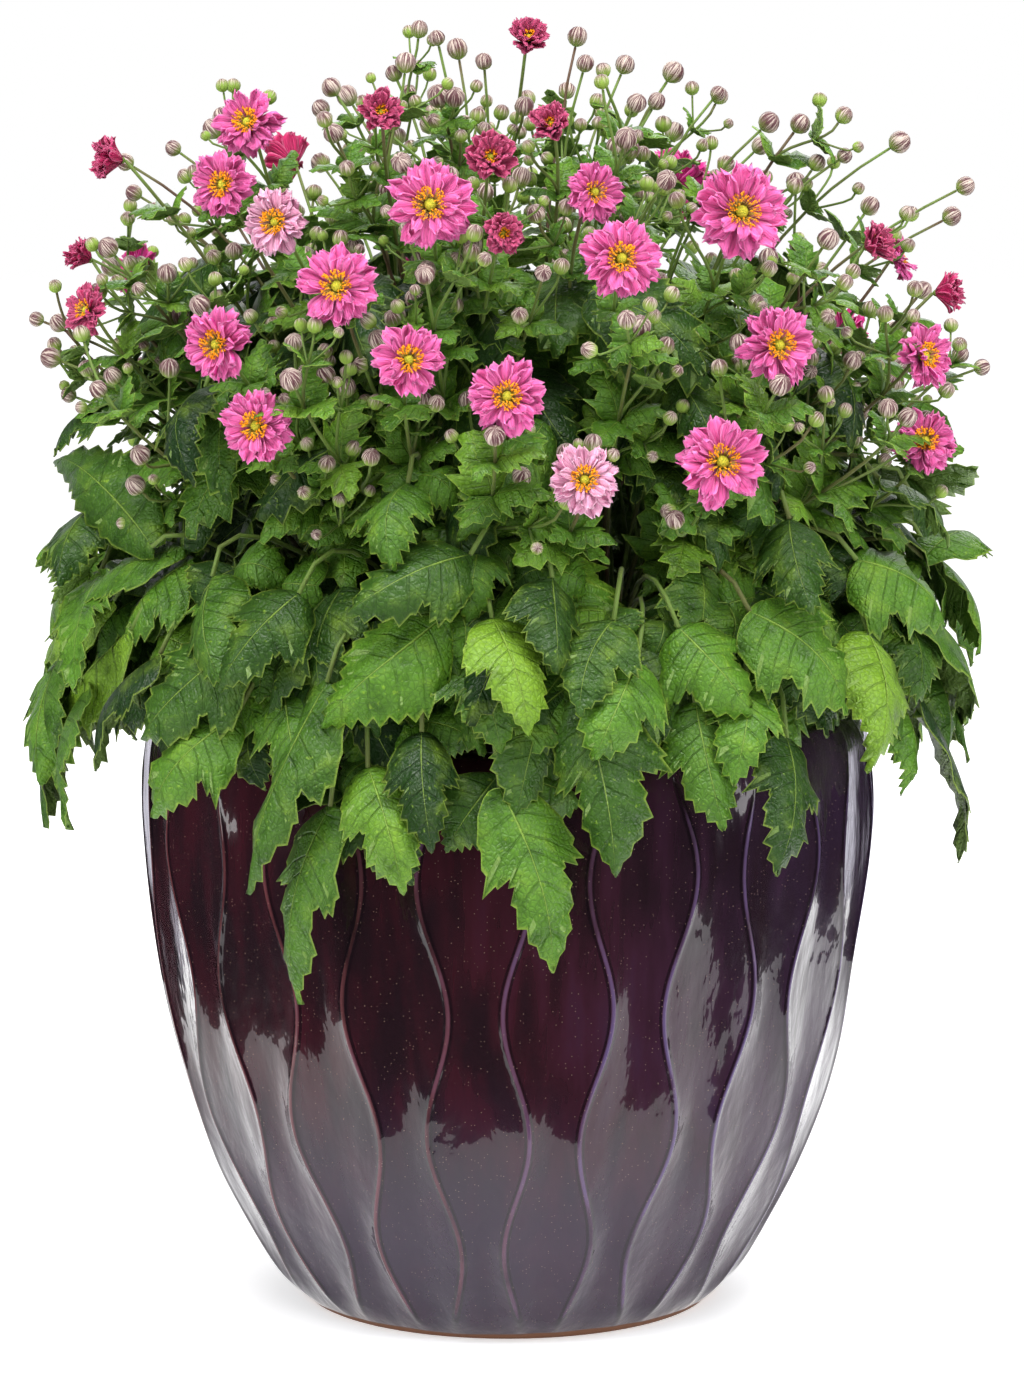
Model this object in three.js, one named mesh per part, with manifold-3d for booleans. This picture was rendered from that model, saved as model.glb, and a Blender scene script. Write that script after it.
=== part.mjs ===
// A potted Japanese anemone: a ribbed, glazed planter with soil and six plants in it, each with
// basal leaves that hang over the rim, leafy flower stems, sprays of buds and semi-double blooms.
// Millimetres, +Z up. The origin is the middle of the planter's foot, on the ground.
// The plant's front faces -Y, and azimuths are degrees from there towards +X.

import * as THREE from 'three';
import { mergeVertices } from 'three/addons/utils/BufferGeometryUtils.js';
import Module from 'manifold-3d';

const wasm = await Module();
wasm.setup();

// Driving dimensions of the planter
const POT_HEIGHT = 378;
const RIM_RADIUS = 217;
const WALL = 15;
const FLOOR = 18;
const POT_PROFILE = [
  [129, 0], [149, 19], [170, 55], [189, 94], [207, 146],
  [220, 211], [230.5, 301], [227, 355], [RIM_RADIUS, POT_HEIGHT],
];
const RIB_COUNT = 28;
const RIB_FIRST_AZIMUTH = 1.5;
const RIB_SWING_DEG = 2.2;
const RIB_HALF_WAVE = 82;
const RIB_PHASE_AT = 162;
const FLUTE_DEPTH = 5;
// The shares of the wall's length over which the flutes deepen from the foot, and from which they
// run out towards the rim
const FLUTE_FOOT = 0.1;
const FLUTE_RIM = 0.86;
const RIB_COLUMNS = 3;
const POT_ROWS = 9;
const CAVITY_SIDES = 20;
const CAVITY_SHARES = [0.12, 0.4, 0.72];
const DRAIN_HOLES = 3;
const DRAIN_RADIUS = 7;
const DRAIN_CIRCLE = 62;
const DRAIN_FIRST_AZIMUTH = 60;
const DRAIN_SIDES = 10;

// Driving dimensions of the soil and the six plants
const SOIL_TOP = 344;
const SOIL_CROWN = 6;
const GAP = 0.4;
const PLANTS = 6;
const PLANT_ARC = 360 / PLANTS;
const FIRST_BORDER = -49;
const CROWN_RADIUS = 12;
const CROWN_TAPER = 0.7;
const CROWN_CIRCLE = 92;
const CROWN_DEPTH = 45;
const CROWN_HEIGHT = 30;
const CROWN_SIDES = 6;
const STEM_START = 40;

// The dome that blooms and buds stand on
const DOME_RADIUS = 280;
const DOME_SHOULDER = 560;
const DOME_RISE = 248;

// Stems and buds. A stem leaves its start upwards for a share of its reach, and arrives over another.
const STEM_RADIUS = 1.5;
const STEM_STEPS = 3;
const STEM_RISE = 0.45;
const STEM_ARRIVAL = 0.3;
const STALK_RADIUS = 1.1;
const STALK_START = 0.4;
const BUD_RADIUS = 7;
const BUD_VARIATION = 0.15;
// Where a bud's two rings are along it, and how wide they are, in shares of its radius
const BUD_RINGS = [[-0.45, 0.86], [0.45, 0.9]];

// Blades. The rib's highest point is at a share of the blade, and its foot has a keel under it.
const RIB_THICKNESS = 1.6;
const RIB_AT = 0.5;
const KEEL = 1.5;
const KEEL_AT = 0.01;
const PETIOLE_RADIUS = 1.6;

// Blooms from this diameter up have a centre of their own
const OWN_CENTRE_FROM = 42;
const STAR_TIPS = 6;

const COLOURS = {
  glaze: 0x2a1428,
  soil: 0x33261c,
  green: 0x3f7a2c,
  petal: 0xd83a94,
  centre: 0xf0b020,
};

// Blooms: azimuth and height on the dome, share of the dome's radius, diameter, and the azimuth and
// elevation that the bloom faces. A form is open, or cupped for a bloom that is still half shut.
const BLOOMS = [
  { at: [-54, 742, 1.0], across: 46, faces: [-22, 24], form: 'open' },
  { at: [-48, 708, 1.0], across: 44, faces: [-20, 8], form: 'open' },
  { at: [-34, 689, 1.0], across: 44, faces: [-24, 4], form: 'open' },
  { at: [-77, 718, 1.12], across: 32, faces: [-72, 8], form: 'cupped' },
  { at: [-24, 749, 1.0], across: 30, faces: [-2, 24], form: 'cupped' },
  { at: [-11, 700, 1.0], across: 56, faces: [-4, 12], form: 'open' },
  { at: [-3, 724, 0.98], across: 34, faces: [8, 26], form: 'cupped' },
  { at: [-1, 684, 0.95], across: 28, faces: [14, 8], form: 'cupped' },
  { at: [8, 790, 0.8], across: 28, faces: [12, 34], form: 'cupped' },
  { at: [9, 742, 0.9], across: 28, faces: [-16, 30], form: 'cupped' },
  { at: [14, 706, 0.9], across: 40, faces: [26, 10], form: 'open' },
  { at: [-22, 654, 1.0], across: 52, faces: [-12, 14], form: 'open' },
  { at: [-38, 619, 1.0], across: 48, faces: [-26, 6], form: 'open' },
  { at: [-70, 629, 1.0], across: 36, faces: [-44, 18], form: 'open' },
  { at: [-86, 655, 1.0], across: 26, faces: [-84, 30], form: 'cupped' },
  { at: [-31, 574, 1.0], across: 47, faces: [-18, 6], form: 'open' },
  { at: [-12, 614, 1.0], across: 46, faces: [10, 16], form: 'open' },
  { at: [0, 594, 1.0], across: 49, faces: [-4, 16], form: 'open' },
  { at: [15, 670, 1.0], across: 51, faces: [8, 14], form: 'open' },
  { at: [35, 694, 1.0], across: 61, faces: [14, 12], form: 'open' },
  { at: [35, 619, 1.0], across: 50, faces: [18, 10], form: 'open' },
  { at: [9, 546, 1.0], across: 45, faces: [2, 20], form: 'open' },
  { at: [26, 554, 1.0], across: 57, faces: [10, 14], form: 'open' },
  { at: [66, 668, 0.94], across: 30, faces: [64, 26], form: 'cupped' },
  { at: [70, 640, 1.04], across: 28, faces: [82, 4], form: 'cupped' },
  { at: [64, 604, 1.0], across: 45, faces: [44, 10], form: 'open' },
  { at: [63, 553, 1.0], across: 43, faces: [8, 24], form: 'open' },
  { at: [103, 650, 0.96], across: 36, faces: [96, 24], form: 'open' },
  { at: [128, 590, 1.0], across: 50, faces: [122, 16], form: 'open' },
  { at: [152, 690, 1.0], across: 54, faces: [156, 22], form: 'open' },
  { at: [196, 620, 1.0], across: 48, faces: [190, 14], form: 'open' },
  { at: [218, 705, 1.0], across: 38, faces: [212, 26], form: 'cupped' },
  { at: [244, 640, 1.0], across: 40, faces: [240, 18], form: 'open' },
];

// Basal leaves of the front half: azimuth and height of the blade's foot, then of its tip, and the
// blade's width. The back half carries the same leaves turned half round and varied a little.
const BASAL_LEAVES = [
  [-58, 491, -85, 527, 50], [-66, 455, -86, 408, 36], [-60, 440, -84, 354, 48],
  [-53, 429, -59, 372, 46], [-38, 444, -48, 394, 54], [-38, 398, -46, 348, 50],
  [-44, 479, -37, 432, 44], [-29, 474, -35, 428, 46], [-24, 424, -32, 320, 54],
  [-23, 352, -28, 250, 48], [-18, 376, -13, 318, 42], [-8, 466, -21, 416, 56],
  [-5, 500, -17, 474, 44], [-11, 398, -9, 342, 40], [-2, 464, 2, 410, 46],
  [-1, 366, 5, 276, 50], [9, 418, 12, 332, 50], [6, 487, 6, 445, 42],
  [14, 462, 9, 420, 40], [17, 438, 11, 394, 48], [23, 456, 29, 416, 48],
  [25, 412, 26, 352, 42], [33, 417, 28, 376, 40], [39, 386, 34, 322, 50],
  [34, 462, 43, 412, 58], [56, 442, 50, 378, 52], [56, 484, 64, 450, 48],
  [69, 450, 84, 384, 50], [70, 394, 82, 302, 50], [78, 474, 87, 474, 44],
  [66, 528, 69, 496, 40], [43, 513, 39, 470, 38], [-14, 540, -14, 504, 40],
  [-84, 566, -86, 540, 34], [-51, 588, -45, 546, 40], [94, 424, 102, 352, 54],
  [108, 462, 116, 408, 52], [98, 506, 106, 470, 50], [-80, 430, -74, 366, 50],
  [-72, 400, -66, 330, 50], [-92, 470, -98, 420, 50],
];
// How far out the leaves' tips reach at some heights, and how much further at the flanks
const SKIRT = [[200, 250], [250, 264], [300, 284], [350, 292], [450, 284], [560, 262], [620, 252]];
const FLANK_REACH = 0.045;
const FOOT_INSET = 28;
const BORDER_MARGIN = 5;
const BREADTH = 1.14;
// How a basal leaf lies: the way its top looks, its arch and its fold, and how much they vary
const BASAL_POSE = { elevation: 38, arch: [9, 4], fold: [16, 7] };
const BACK_VARIATION = { turn: 4, rise: 10 };
// Where a petiole leaves the plant's middle: how far below the blade's foot, how far from the axis
// low down and high up, and the highest it starts
const PETIOLE_ROOTS = { drop: 30, low: 118, high: 90, highFrom: 460, top: 490 };
// How a petiole passes over the rim: how far above it and how far outside it
const OVER_RIM = { above: 18, beyond: 6 };
// Leaves that rise from the top of a plant's middle, and how much they vary
const CROWN_LEAVES = {
  perPlant: 2,
  foot: [70, 636],
  tip: [192, 584],
  width: 94,
  elevation: 68,
  arch: 16,
  fold: 18,
  stalkDrop: 40,
  vary: { share: 0.15, rise: 14, swing: 6, reach: 8 },
};

// Bud sprays of each plant: where the top bud is, as share of the plant's arc, height and share of
// the dome's radius, and how many buds stand beside it.
const SPRAYS = [
  { arc: 0.26, z: 640, out: 0.92, sideBuds: 2 },
  { arc: 0.72, z: 722, out: 0.84, sideBuds: 3 },
  { arc: 0.5, z: 750, out: 0.6, sideBuds: 0 },
];
const SPRAY_LEAN = 52;
const SPRAY_VARIATION = { arc: 0.06, rise: 14 };
// Side buds and small leaves along a spray: where the first stands on the stem's last stretch, how
// far apart the next is, how they turn round the stem, and how far they lean out
const SIDE_BUDS = { first: 0.7, step: 0.16, turn: 130, start: 50, lean: 0.8, reach: 46 };
const SIDE_BUD_VARIATION = { turn: 25, reach: 0.25 };
const SPRAY_LEAVES = {
  count: 2,
  first: 0.56,
  step: 0.2,
  turn: 180,
  start: 110,
  lean: 1.6,
  stalk: [0.6, 8],
  length: 46,
  width: 28.5,
  elevation: 60,
  arch: 5,
  fold: 9,
};

// The dense middle of a plant: rows of radius and height, with lumps, drawn in at the arc's borders
const CORE_ROWS = [[146, 360], [164, 408], [158, 464], [126, 546], [62, 622]];
const CORE_INSIDE = 10;
const CORE_COLUMNS = 5;
const CORE_MARGIN = 0.02;
const CORE_LUMPS = 0.1;
const CORE_VARIATION = 0.05;
const CORE_WAIST = 0.24;

// The room that each bloom keeps free round its petals, as a scale of their hull
const BLOOM_ROOM = new THREE.Vector3(1.05, 1.05, 1.06);
// The room that leaves keep free round the planter's wall
const WALL_CLEARANCE = 1.2;
const WALL_ROOM_INSIDE = 8;
const WALL_ROOM_SIDES = 56;
// How far out and how high the space of one plant reaches
const SPACE_REACH = 900;
const SPACE_TOP = 1000;

const UP = new THREE.Vector3(0, 0, 1);

// A number from 0 to 1 that depends only on its two seeds.
function chance(a, b) {
  const wave = Math.sin(a * 12.9898 + b * 78.233) * 43758.5453;
  return wave - Math.floor(wave);
}

// A number from -1 to 1 that depends only on its two seeds.
function jitter(a, b) {
  return 2 * chance(a, b) - 1;
}

function polar(azimuth, radius, z) {
  const a = THREE.MathUtils.degToRad(azimuth);
  return new THREE.Vector3(radius * Math.sin(a), -radius * Math.cos(a), z);
}

// The unit vector that looks along an azimuth and an elevation.
function heading(azimuth, elevation) {
  const e = THREE.MathUtils.degToRad(elevation);
  return polar(azimuth, Math.cos(e), Math.sin(e));
}

function domeRadius(z) {
  const rise = Math.max(0, z - DOME_SHOULDER) / DOME_RISE;
  return DOME_RADIUS * Math.sqrt(Math.max(0, 1 - rise * rise));
}

// A solid from points and faces, each face a list of point numbers seen from outside.
function solidOf(points, faces) {
  const triangles = faces.flatMap((face) =>
    face.slice(2).flatMap((_, i) => [face[0], face[i + 1], face[i + 2]]));
  const mesh = new wasm.Mesh({
    numProp: 3,
    vertProperties: new Float32Array(points.flatMap((p) => [p.x, p.y, p.z])),
    triVerts: new Uint32Array(triangles),
  });
  mesh.merge();
  return new wasm.Manifold(mesh);
}

// A solid from a closed three.js geometry.
function solidOfGeometry(geometry) {
  const bare = new THREE.BufferGeometry();
  bare.setAttribute('position', geometry.getAttribute('position'));
  bare.setIndex(geometry.getIndex());
  const merged = mergeVertices(bare, 1e-3);
  const corners = merged.getAttribute('position');
  const kept = [];
  const index = merged.getIndex().array;
  for (let i = 0; i < index.length; i += 3) {
    const [a, b, c] = [index[i], index[i + 1], index[i + 2]];
    if (a !== b && b !== c && a !== c) kept.push(a, b, c);
  }
  return new wasm.Manifold(new wasm.Mesh({
    numProp: 3,
    vertProperties: new Float32Array(corners.array),
    triVerts: new Uint32Array(kept),
  }));
}

// The three.js geometry of a solid.
function geometryOf(solid) {
  const mesh = solid.getMesh();
  const corners = new Float32Array(mesh.numVert * 3);
  for (let i = 0; i < mesh.numVert; i += 1) {
    corners.set(mesh.vertProperties.subarray(i * mesh.numProp, i * mesh.numProp + 3), i * 3);
  }
  const geometry = new THREE.BufferGeometry();
  geometry.setAttribute('position', new THREE.BufferAttribute(corners, 3));
  geometry.setIndex(new THREE.BufferAttribute(new Uint32Array(mesh.triVerts), 1));
  geometry.computeVertexNormals();
  return geometry;
}

// The largest body of a solid, without the loose scraps that a cut leaves.
function largestBody(solid) {
  const bodies = solid.decompose();
  return bodies.reduce((best, body) => (body.volume() > best.volume() ? body : best));
}

// A solid of revolution about Z from [radius, z] points that start and end on the axis.
function lathe(profile, sides) {
  const points = profile.map(([radius, z]) => new THREE.Vector2(radius, z));
  const geometry = new THREE.LatheGeometry(points, sides);
  geometry.rotateX(Math.PI / 2);
  const solid = solidOfGeometry(geometry);
  if (solid.volume() > 0) return solid;
  return solidOfGeometry(flipped(geometry));
}

// The same geometry with its faces turned round.
function flipped(geometry) {
  const index = geometry.getIndex().array;
  for (let i = 0; i < index.length; i += 3) {
    [index[i + 1], index[i + 2]] = [index[i + 2], index[i + 1]];
  }
  return geometry;
}

// A round tube along a path, with a radius at each point. A radius of 0 ends it in a point.
function tube(path, radii, sides) {
  const points = [];
  const faces = [];
  const side = new THREE.Vector3();
  let before = null;
  path.forEach((centre, i) => {
    const along = new THREE.Vector3()
      .subVectors(path[Math.min(i + 1, path.length - 1)], path[Math.max(i - 1, 0)])
      .normalize();
    if (i === 0) side.set(1, 0, 0);
    if (i === 0 && Math.abs(along.x) > 0.8) side.set(0, 1, 0);
    side.addScaledVector(along, -side.dot(along)).normalize();
    const across = new THREE.Vector3().crossVectors(along, side);
    const ring = [];
    const corners = radii[i] > 0 ? sides : 1;
    for (let k = 0; k < corners; k += 1) {
      const turn = (2 * Math.PI * k) / sides;
      ring.push(points.length);
      points.push(centre.clone()
        .addScaledVector(side, radii[i] * Math.cos(turn))
        .addScaledVector(across, radii[i] * Math.sin(turn)));
    }
    if (before === null) {
      faces.push([...ring].reverse());
    } else {
      faces.push(...bandFaces(before, ring));
    }
    before = ring;
  });
  if (before.length > 1) faces.push(before);
  return solidOf(points, faces);
}

// The faces between two rings of a tube, where the second ring may be a single point.
function bandFaces(low, high) {
  return low.flatMap((corner, k) => {
    const next = (k + 1) % low.length;
    if (high.length === 1) return [[corner, low[next], high[0]]];
    return [[corner, low[next], high[next]], [corner, high[next], high[k]]];
  });
}

// The outline of the planter's wall from foot to rim, with ribs at their full radius.
const potCurve = new THREE.SplineCurve(POT_PROFILE.map(([r, z]) => new THREE.Vector2(r, z)));
const potLength = potCurve.getLength();

// How far round a rib's crest stands at a share of the way up the wall.
function ribAzimuth(rib, share) {
  const swing = Math.cos((Math.PI * (share * potLength - RIB_PHASE_AT)) / RIB_HALF_WAVE);
  const side = rib % 2 === 0 ? 1 : -1;
  return RIB_FIRST_AZIMUTH + (360 / RIB_COUNT) * rib + side * RIB_SWING_DEG * swing;
}

// How deep the flutes are at a share of the way up the wall: they run out at foot and rim.
function fluteDepth(share) {
  const foot = THREE.MathUtils.smoothstep(share, 0, FLUTE_FOOT);
  const rim = 1 - THREE.MathUtils.smoothstep(share, FLUTE_RIM, 1);
  return FLUTE_DEPTH * foot * rim;
}

// The planter: a wall with waved ribs, a cavity for the soil and drain holes in its floor.
function potSolid() {
  const points = [];
  const faces = [];
  const rings = [];
  for (let row = 0; row <= POT_ROWS; row += 1) {
    const share = row / POT_ROWS;
    const { x: radius, y: z } = potCurve.getPointAt(share);
    const ring = [];
    for (let rib = 0; rib < RIB_COUNT; rib += 1) {
      const here = ribAzimuth(rib, share);
      const next = ribAzimuth(rib + 1, share);
      for (let column = 0; column < RIB_COLUMNS; column += 1) {
        const azimuth = here + ((next - here) * column) / RIB_COLUMNS;
        const sunk = column === 0 ? 0 : fluteDepth(share);
        ring.push(points.length);
        points.push(polar(azimuth, radius - sunk, z));
      }
    }
    rings.push(ring);
  }
  faces.push([...rings[0]].reverse());
  for (let row = 0; row < POT_ROWS; row += 1) {
    faces.push(...bandFaces(rings[row], rings[row + 1]));
  }
  faces.push(rings[POT_ROWS]);
  let pot = solidOf(points, faces).subtract(lathe(cavityProfile(0, POT_HEIGHT + 1), CAVITY_SIDES));
  for (let hole = 0; hole < DRAIN_HOLES; hole += 1) {
    const at = polar((360 / DRAIN_HOLES) * hole + DRAIN_FIRST_AZIMUTH, DRAIN_CIRCLE, 0);
    const drill = new THREE.CylinderGeometry(DRAIN_RADIUS, DRAIN_RADIUS, 4 * FLOOR, DRAIN_SIDES);
    drill.rotateX(Math.PI / 2);
    drill.translate(at.x, at.y, at.z);
    pot = pot.subtract(solidOfGeometry(drill));
  }
  return pot;
}

// The half outline of the space inside the planter, drawn in by an inset, up to a height.
function cavityProfile(inset, top) {
  const wall = CAVITY_SHARES.map((share) => {
    const point = potCurve.getPointAt(share);
    return [point.x - FLUTE_DEPTH - WALL - inset, Math.max(point.y, FLOOR + inset)];
  });
  const below = wall.filter(([, z]) => z < top);
  const last = below[below.length - 1];
  return [[0, FLOOR + inset], ...below, [last[0], top], [0, top]];
}

// The soil: it fills the planter to below the rim, with a plain hole for each crown.
function soilSolid() {
  const profile = cavityProfile(GAP, SOIL_TOP);
  profile[profile.length - 1][1] = SOIL_TOP + SOIL_CROWN;
  let soil = lathe(profile, CAVITY_SIDES);
  for (let plant = 0; plant < PLANTS; plant += 1) {
    const at = crownOf(plant);
    const low = new THREE.Vector3(at.x, at.y, SOIL_TOP - CROWN_DEPTH - GAP);
    const high = new THREE.Vector3(at.x, at.y, SOIL_TOP + 3 * SOIL_CROWN);
    const hole = CROWN_RADIUS + 2 * GAP;
    soil = soil.subtract(tube([low, high], [hole, hole], CROWN_SIDES));
  }
  return soil;
}

// A plant's crown, where its leaves and stems start, at the soil's surface.
function crownOf(plant) {
  return polar(FIRST_BORDER + PLANT_ARC * (plant + 0.5), CROWN_CIRCLE, SOIL_TOP);
}

// The form of a bloom's two rings of petals, in shares of the bloom's radius: the radius and
// height of the notches between petals and of their tips, of the waist between the rings, of the
// foot under them and of the hollow above. Petals are thick at a share of their way out.
const PETAL_FORMS = {
  open: {
    petals: 6,
    outer: { notch: [0.42, 0.03], tip: [1, 0.14] },
    inner: { notch: [0.36, 0.22], tip: [0.8, 0.48] },
    waist: [0.27, 0.1],
    hollow: 0.14,
    foot: -0.16,
  },
  cupped: {
    petals: 5,
    outer: { notch: [0.46, 0.3], tip: [1, 0.54] },
    inner: { notch: [0.33, 0.44], tip: [0.74, 1.02] },
    waist: [0.3, 0.2],
    hollow: 0.36,
    foot: -0.24,
  },
};
const PETAL_THICKNESS = 0.07;
const THICKEST_AT = 0.64;
// A petal's shoulders and tip: how far out, in shares of its length, and where they stand in its
// share of the circle. The tip droops a little.
const SHOULDER = 0.87;
const PETAL_ENDS = { left: -0.37, tip: 0.05, right: 0.38 };
const TIP_DROOP = 0.9;
const PETAL_VARIATION = { turn: 0.1, length: 0.13, rise: 0.06 };
// Seeds of a bloom's inner petals are this much higher than those of its outer ones
const INNER_SEED = 500;

// The petals of a bloom in one closed body that faces +Z: an outer ring and an inner ring of
// petals that share a waist. Each petal has a crowned midline, two shoulders and a tip.
function bloomPetals(bloom, seed) {
  const form = PETAL_FORMS[bloom.form];
  const radius = bloom.across / 2;
  const step = (2 * Math.PI) / form.petals;
  const start = step * chance(seed, 3);
  const points = [];
  const put = (angle, r, z) => {
    points.push(new THREE.Vector3(r * Math.cos(angle), r * Math.sin(angle), z).multiplyScalar(radius));
    return points.length - 1;
  };
  const ring = (angle, [r, z]) => Array.from({ length: form.petals }, (_, i) =>
    put(angle + step * i, r, z));
  const under = put(0, 0, form.foot);
  const top = put(0, 0, form.hollow);
  const waist = ring(start, form.waist);
  const outer = petalRing(form.outer, ring(start - step / 2, form.outer.notch), put,
    { start, step, seed, from: [0, form.foot] });
  const inner = petalRing(form.inner, ring(start, form.inner.notch), put,
    { start: start + step / 2, step, seed: seed + INNER_SEED, from: form.waist });
  const faces = [...outer.faces, ...inner.faces];
  for (let i = 0; i < form.petals; i += 1) {
    const next = (i + 1) % form.petals;
    faces.push(...outer.outlines[i].slice(1).map((corner, k) =>
      [under, corner, outer.outlines[i][k]]));
    faces.push([outer.middles[i], waist[i], outer.notches[i]]);
    faces.push([outer.middles[i], outer.notches[next], waist[i]]);
    faces.push([outer.notches[next], waist[next], waist[i]]);
    faces.push(...inner.outlines[i].slice(1).map((corner, k) =>
      [k < 2 ? waist[i] : waist[next], corner, inner.outlines[i][k]]));
    faces.push([waist[i], waist[next], inner.outlines[i][2]]);
    faces.push([top, inner.notches[i], inner.middles[i]]);
    faces.push([top, inner.middles[i], inner.notches[next]]);
  }
  return solidOf(points, faces);
}

// One ring of petals: their outlines from notch to notch, and the faces on their upper side. The
// petals' undersides run out from a radius and height, and their middles stand off them.
function petalRing(form, notches, put, { start, step, seed, from: [fromR, fromZ] }) {
  const middles = [];
  const outlines = [];
  const faces = [];
  notches.forEach((notch, i) => {
    const to = notches[(i + 1) % notches.length];
    const angle = start + step * (i + PETAL_VARIATION.turn * jitter(seed, i));
    const long = form.tip[0] * (1 - PETAL_VARIATION.length * chance(seed, i + 40));
    const rise = form.tip[1] + PETAL_VARIATION.rise * jitter(seed, i + 80);
    const out = new THREE.Vector2(SHOULDER * long - fromR, rise - fromZ);
    const off = new THREE.Vector2(-out.y, out.x).setLength(PETAL_THICKNESS);
    const middle = put(angle, fromR + THICKEST_AT * out.x + off.x, fromZ + THICKEST_AT * out.y + off.y);
    const left = put(angle + PETAL_ENDS.left * step, long * SHOULDER, rise);
    const tip = put(angle + PETAL_ENDS.tip * step, long, rise * TIP_DROOP);
    const right = put(angle + PETAL_ENDS.right * step, long * SHOULDER, rise);
    faces.push([notch, left, middle], [left, tip, middle]);
    faces.push([tip, right, middle], [right, to, middle]);
    middles.push(middle);
    outlines.push([notch, left, tip, right, to]);
  });
  return { notches, middles, outlines, faces };
}

// The form of a bloom's middle: radii and heights above the hollow, in shares of its radius
const CENTRE_FORM = { tip: [0.3, 0.21], notch: [0.22, 0.16], boss: [0.13, 0.26], top: 0.34 };

// The middle of a bloom: a ring of stamens as a star round a raised boss, facing +Z, in the hollow
// of its inner petals.
function bloomCentre(bloom) {
  const radius = bloom.across / 2;
  const { hollow } = PETAL_FORMS.open;
  const points = [];
  const put = (turn, r, z) => {
    const angle = (Math.PI * turn) / STAR_TIPS;
    points.push(new THREE.Vector3(r * Math.cos(angle), r * Math.sin(angle), z).multiplyScalar(radius));
    return points.length - 1;
  };
  const clear = hollow + GAP / radius;
  const under = put(0, 0, clear);
  const ringPoint = (turn, [r, z]) => put(turn, r, clear + z);
  const top = put(0, 0, clear + CENTRE_FORM.top);
  const faces = [];
  const boss = [];
  const star = [];
  for (let i = 0; i < STAR_TIPS; i += 1) {
    star.push(ringPoint(2 * i, CENTRE_FORM.tip), ringPoint(2 * i + 1, CENTRE_FORM.notch));
    boss.push(ringPoint(2 * i + 1, CENTRE_FORM.boss));
  }
  boss.forEach((corner, i) => {
    const next = boss[(i + 1) % STAR_TIPS];
    const inside = star[2 * i + 1];
    const tip = star[(2 * i + 2) % star.length];
    const beyond = star[(2 * i + 3) % star.length];
    faces.push([inside, tip, corner], [corner, tip, next], [tip, beyond, next]);
    faces.push([corner, next, top], [tip, inside, under], [beyond, tip, under]);
  });
  return solidOf(points, faces);
}

// The matrix that stands something facing +Z at a bloom's place, facing its way.
function bloomMatrix(bloom) {
  const [azimuth, z, out] = bloom.at;
  const facing = heading(...bloom.faces);
  const turn = new THREE.Quaternion().setFromUnitVectors(UP, facing);
  return new THREE.Matrix4().compose(polar(azimuth, domeRadius(z) * out, z), turn,
    new THREE.Vector3(1, 1, 1));
}

// A solid moved by a matrix.
function moved(solid, matrix) {
  return solid.transform(matrix.toArray());
}

// Half the outline of a blade from foot to tip, as shares of its width and length.
const LEAF_EDGE = [[0.3, 0.18], [0.5, 0.48], [0.32, 0.56], [0.25, 0.77]];
const SMALL_LEAF_EDGE = [[0.5, 0.42], [0.26, 0.48], [0.24, 0.74]];

// A leaf on its petiole in one closed blade: lobed and toothed, folded along its rib, and arched.
// The petiole runs along a path to the blade's foot. Up is roughly the way the blade's top looks.
function leaf({ petiole, foot, tip, width, up, arch, fold, edge = LEAF_EDGE, stalk = PETIOLE_RADIUS }) {
  const along = new THREE.Vector3().subVectors(tip, foot);
  const length = along.length();
  along.divideScalar(length);
  const across = new THREE.Vector3().crossVectors(along, up).normalize();
  const out = new THREE.Vector3().crossVectors(across, along);
  const at = (x, y, lift) => foot.clone()
    .addScaledVector(across, x * width)
    .addScaledVector(along, y * length)
    .addScaledVector(out, lift);
  const lifted = (y) => 4 * arch * y * (1 - y);
  const points = [];
  const put = (point) => points.push(point) - 1;
  const rings = petiole.map((centre) => [
    put(centre.clone().addScaledVector(across, stalk).addScaledVector(UP, stalk)),
    put(centre.clone().addScaledVector(UP, -stalk)),
    put(centre.clone().addScaledVector(across, -stalk).addScaledVector(UP, stalk)),
  ]);
  const left = put(at(-stalk / width, 0, 0));
  const low = put(at(0, KEEL_AT, -KEEL * stalk));
  const right = put(at(stalk / width, 0, 0));
  const ribTop = put(at(0, RIB_AT, lifted(RIB_AT)));
  const ribLow = put(at(0, RIB_AT, lifted(RIB_AT) - RIB_THICKNESS));
  const end = put(at(0, 1, 0));
  const margin = (side) => edge.map(([x, y]) => put(at(side * x, y, lifted(y) - fold * x)));
  const leftEdge = margin(-1);
  const rightEdge = margin(1);
  rings.push([right, low, left]);
  return solidOf(points, [
    [...rings[0]].reverse(),
    ...rings.slice(1).flatMap((ring, i) => bandFaces(rings[i], ring)),
    [ribTop, left, right],
    [ribTop, end, ...[...leftEdge].reverse(), left],
    [ribTop, right, ...rightEdge, end],
    [ribLow, low, left, ...leftEdge, end],
    [ribLow, end, ...[...rightEdge].reverse(), right, low],
  ]);
}

// The curve of a stem that leaves its start upwards and arrives at its end along a direction.
function stemCurve(start, end, arriving) {
  const reach = start.distanceTo(end);
  return new THREE.CubicBezierCurve3(
    start,
    start.clone().addScaledVector(UP, reach * STEM_RISE),
    end.clone().addScaledVector(arriving, -reach * STEM_ARRIVAL),
    end,
  );
}

// A stem along a path that ends in a closed bud. It starts thin, inside what carries it.
function budOnStem(path, radius, size) {
  const end = path[path.length - 1];
  const along = new THREE.Vector3().subVectors(end, path[path.length - 2]).normalize();
  const at = (share) => end.clone().addScaledVector(along, share * size);
  const before = path.slice(0, -1);
  const radii = [STALK_START, ...before.slice(1).map(() => radius), radius];
  return tube([...before, at(-1), ...BUD_RINGS.map(([share]) => at(share)), at(1)],
    [...radii, ...BUD_RINGS.map(([, wide]) => size * wide), 0], 4);
}

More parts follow.
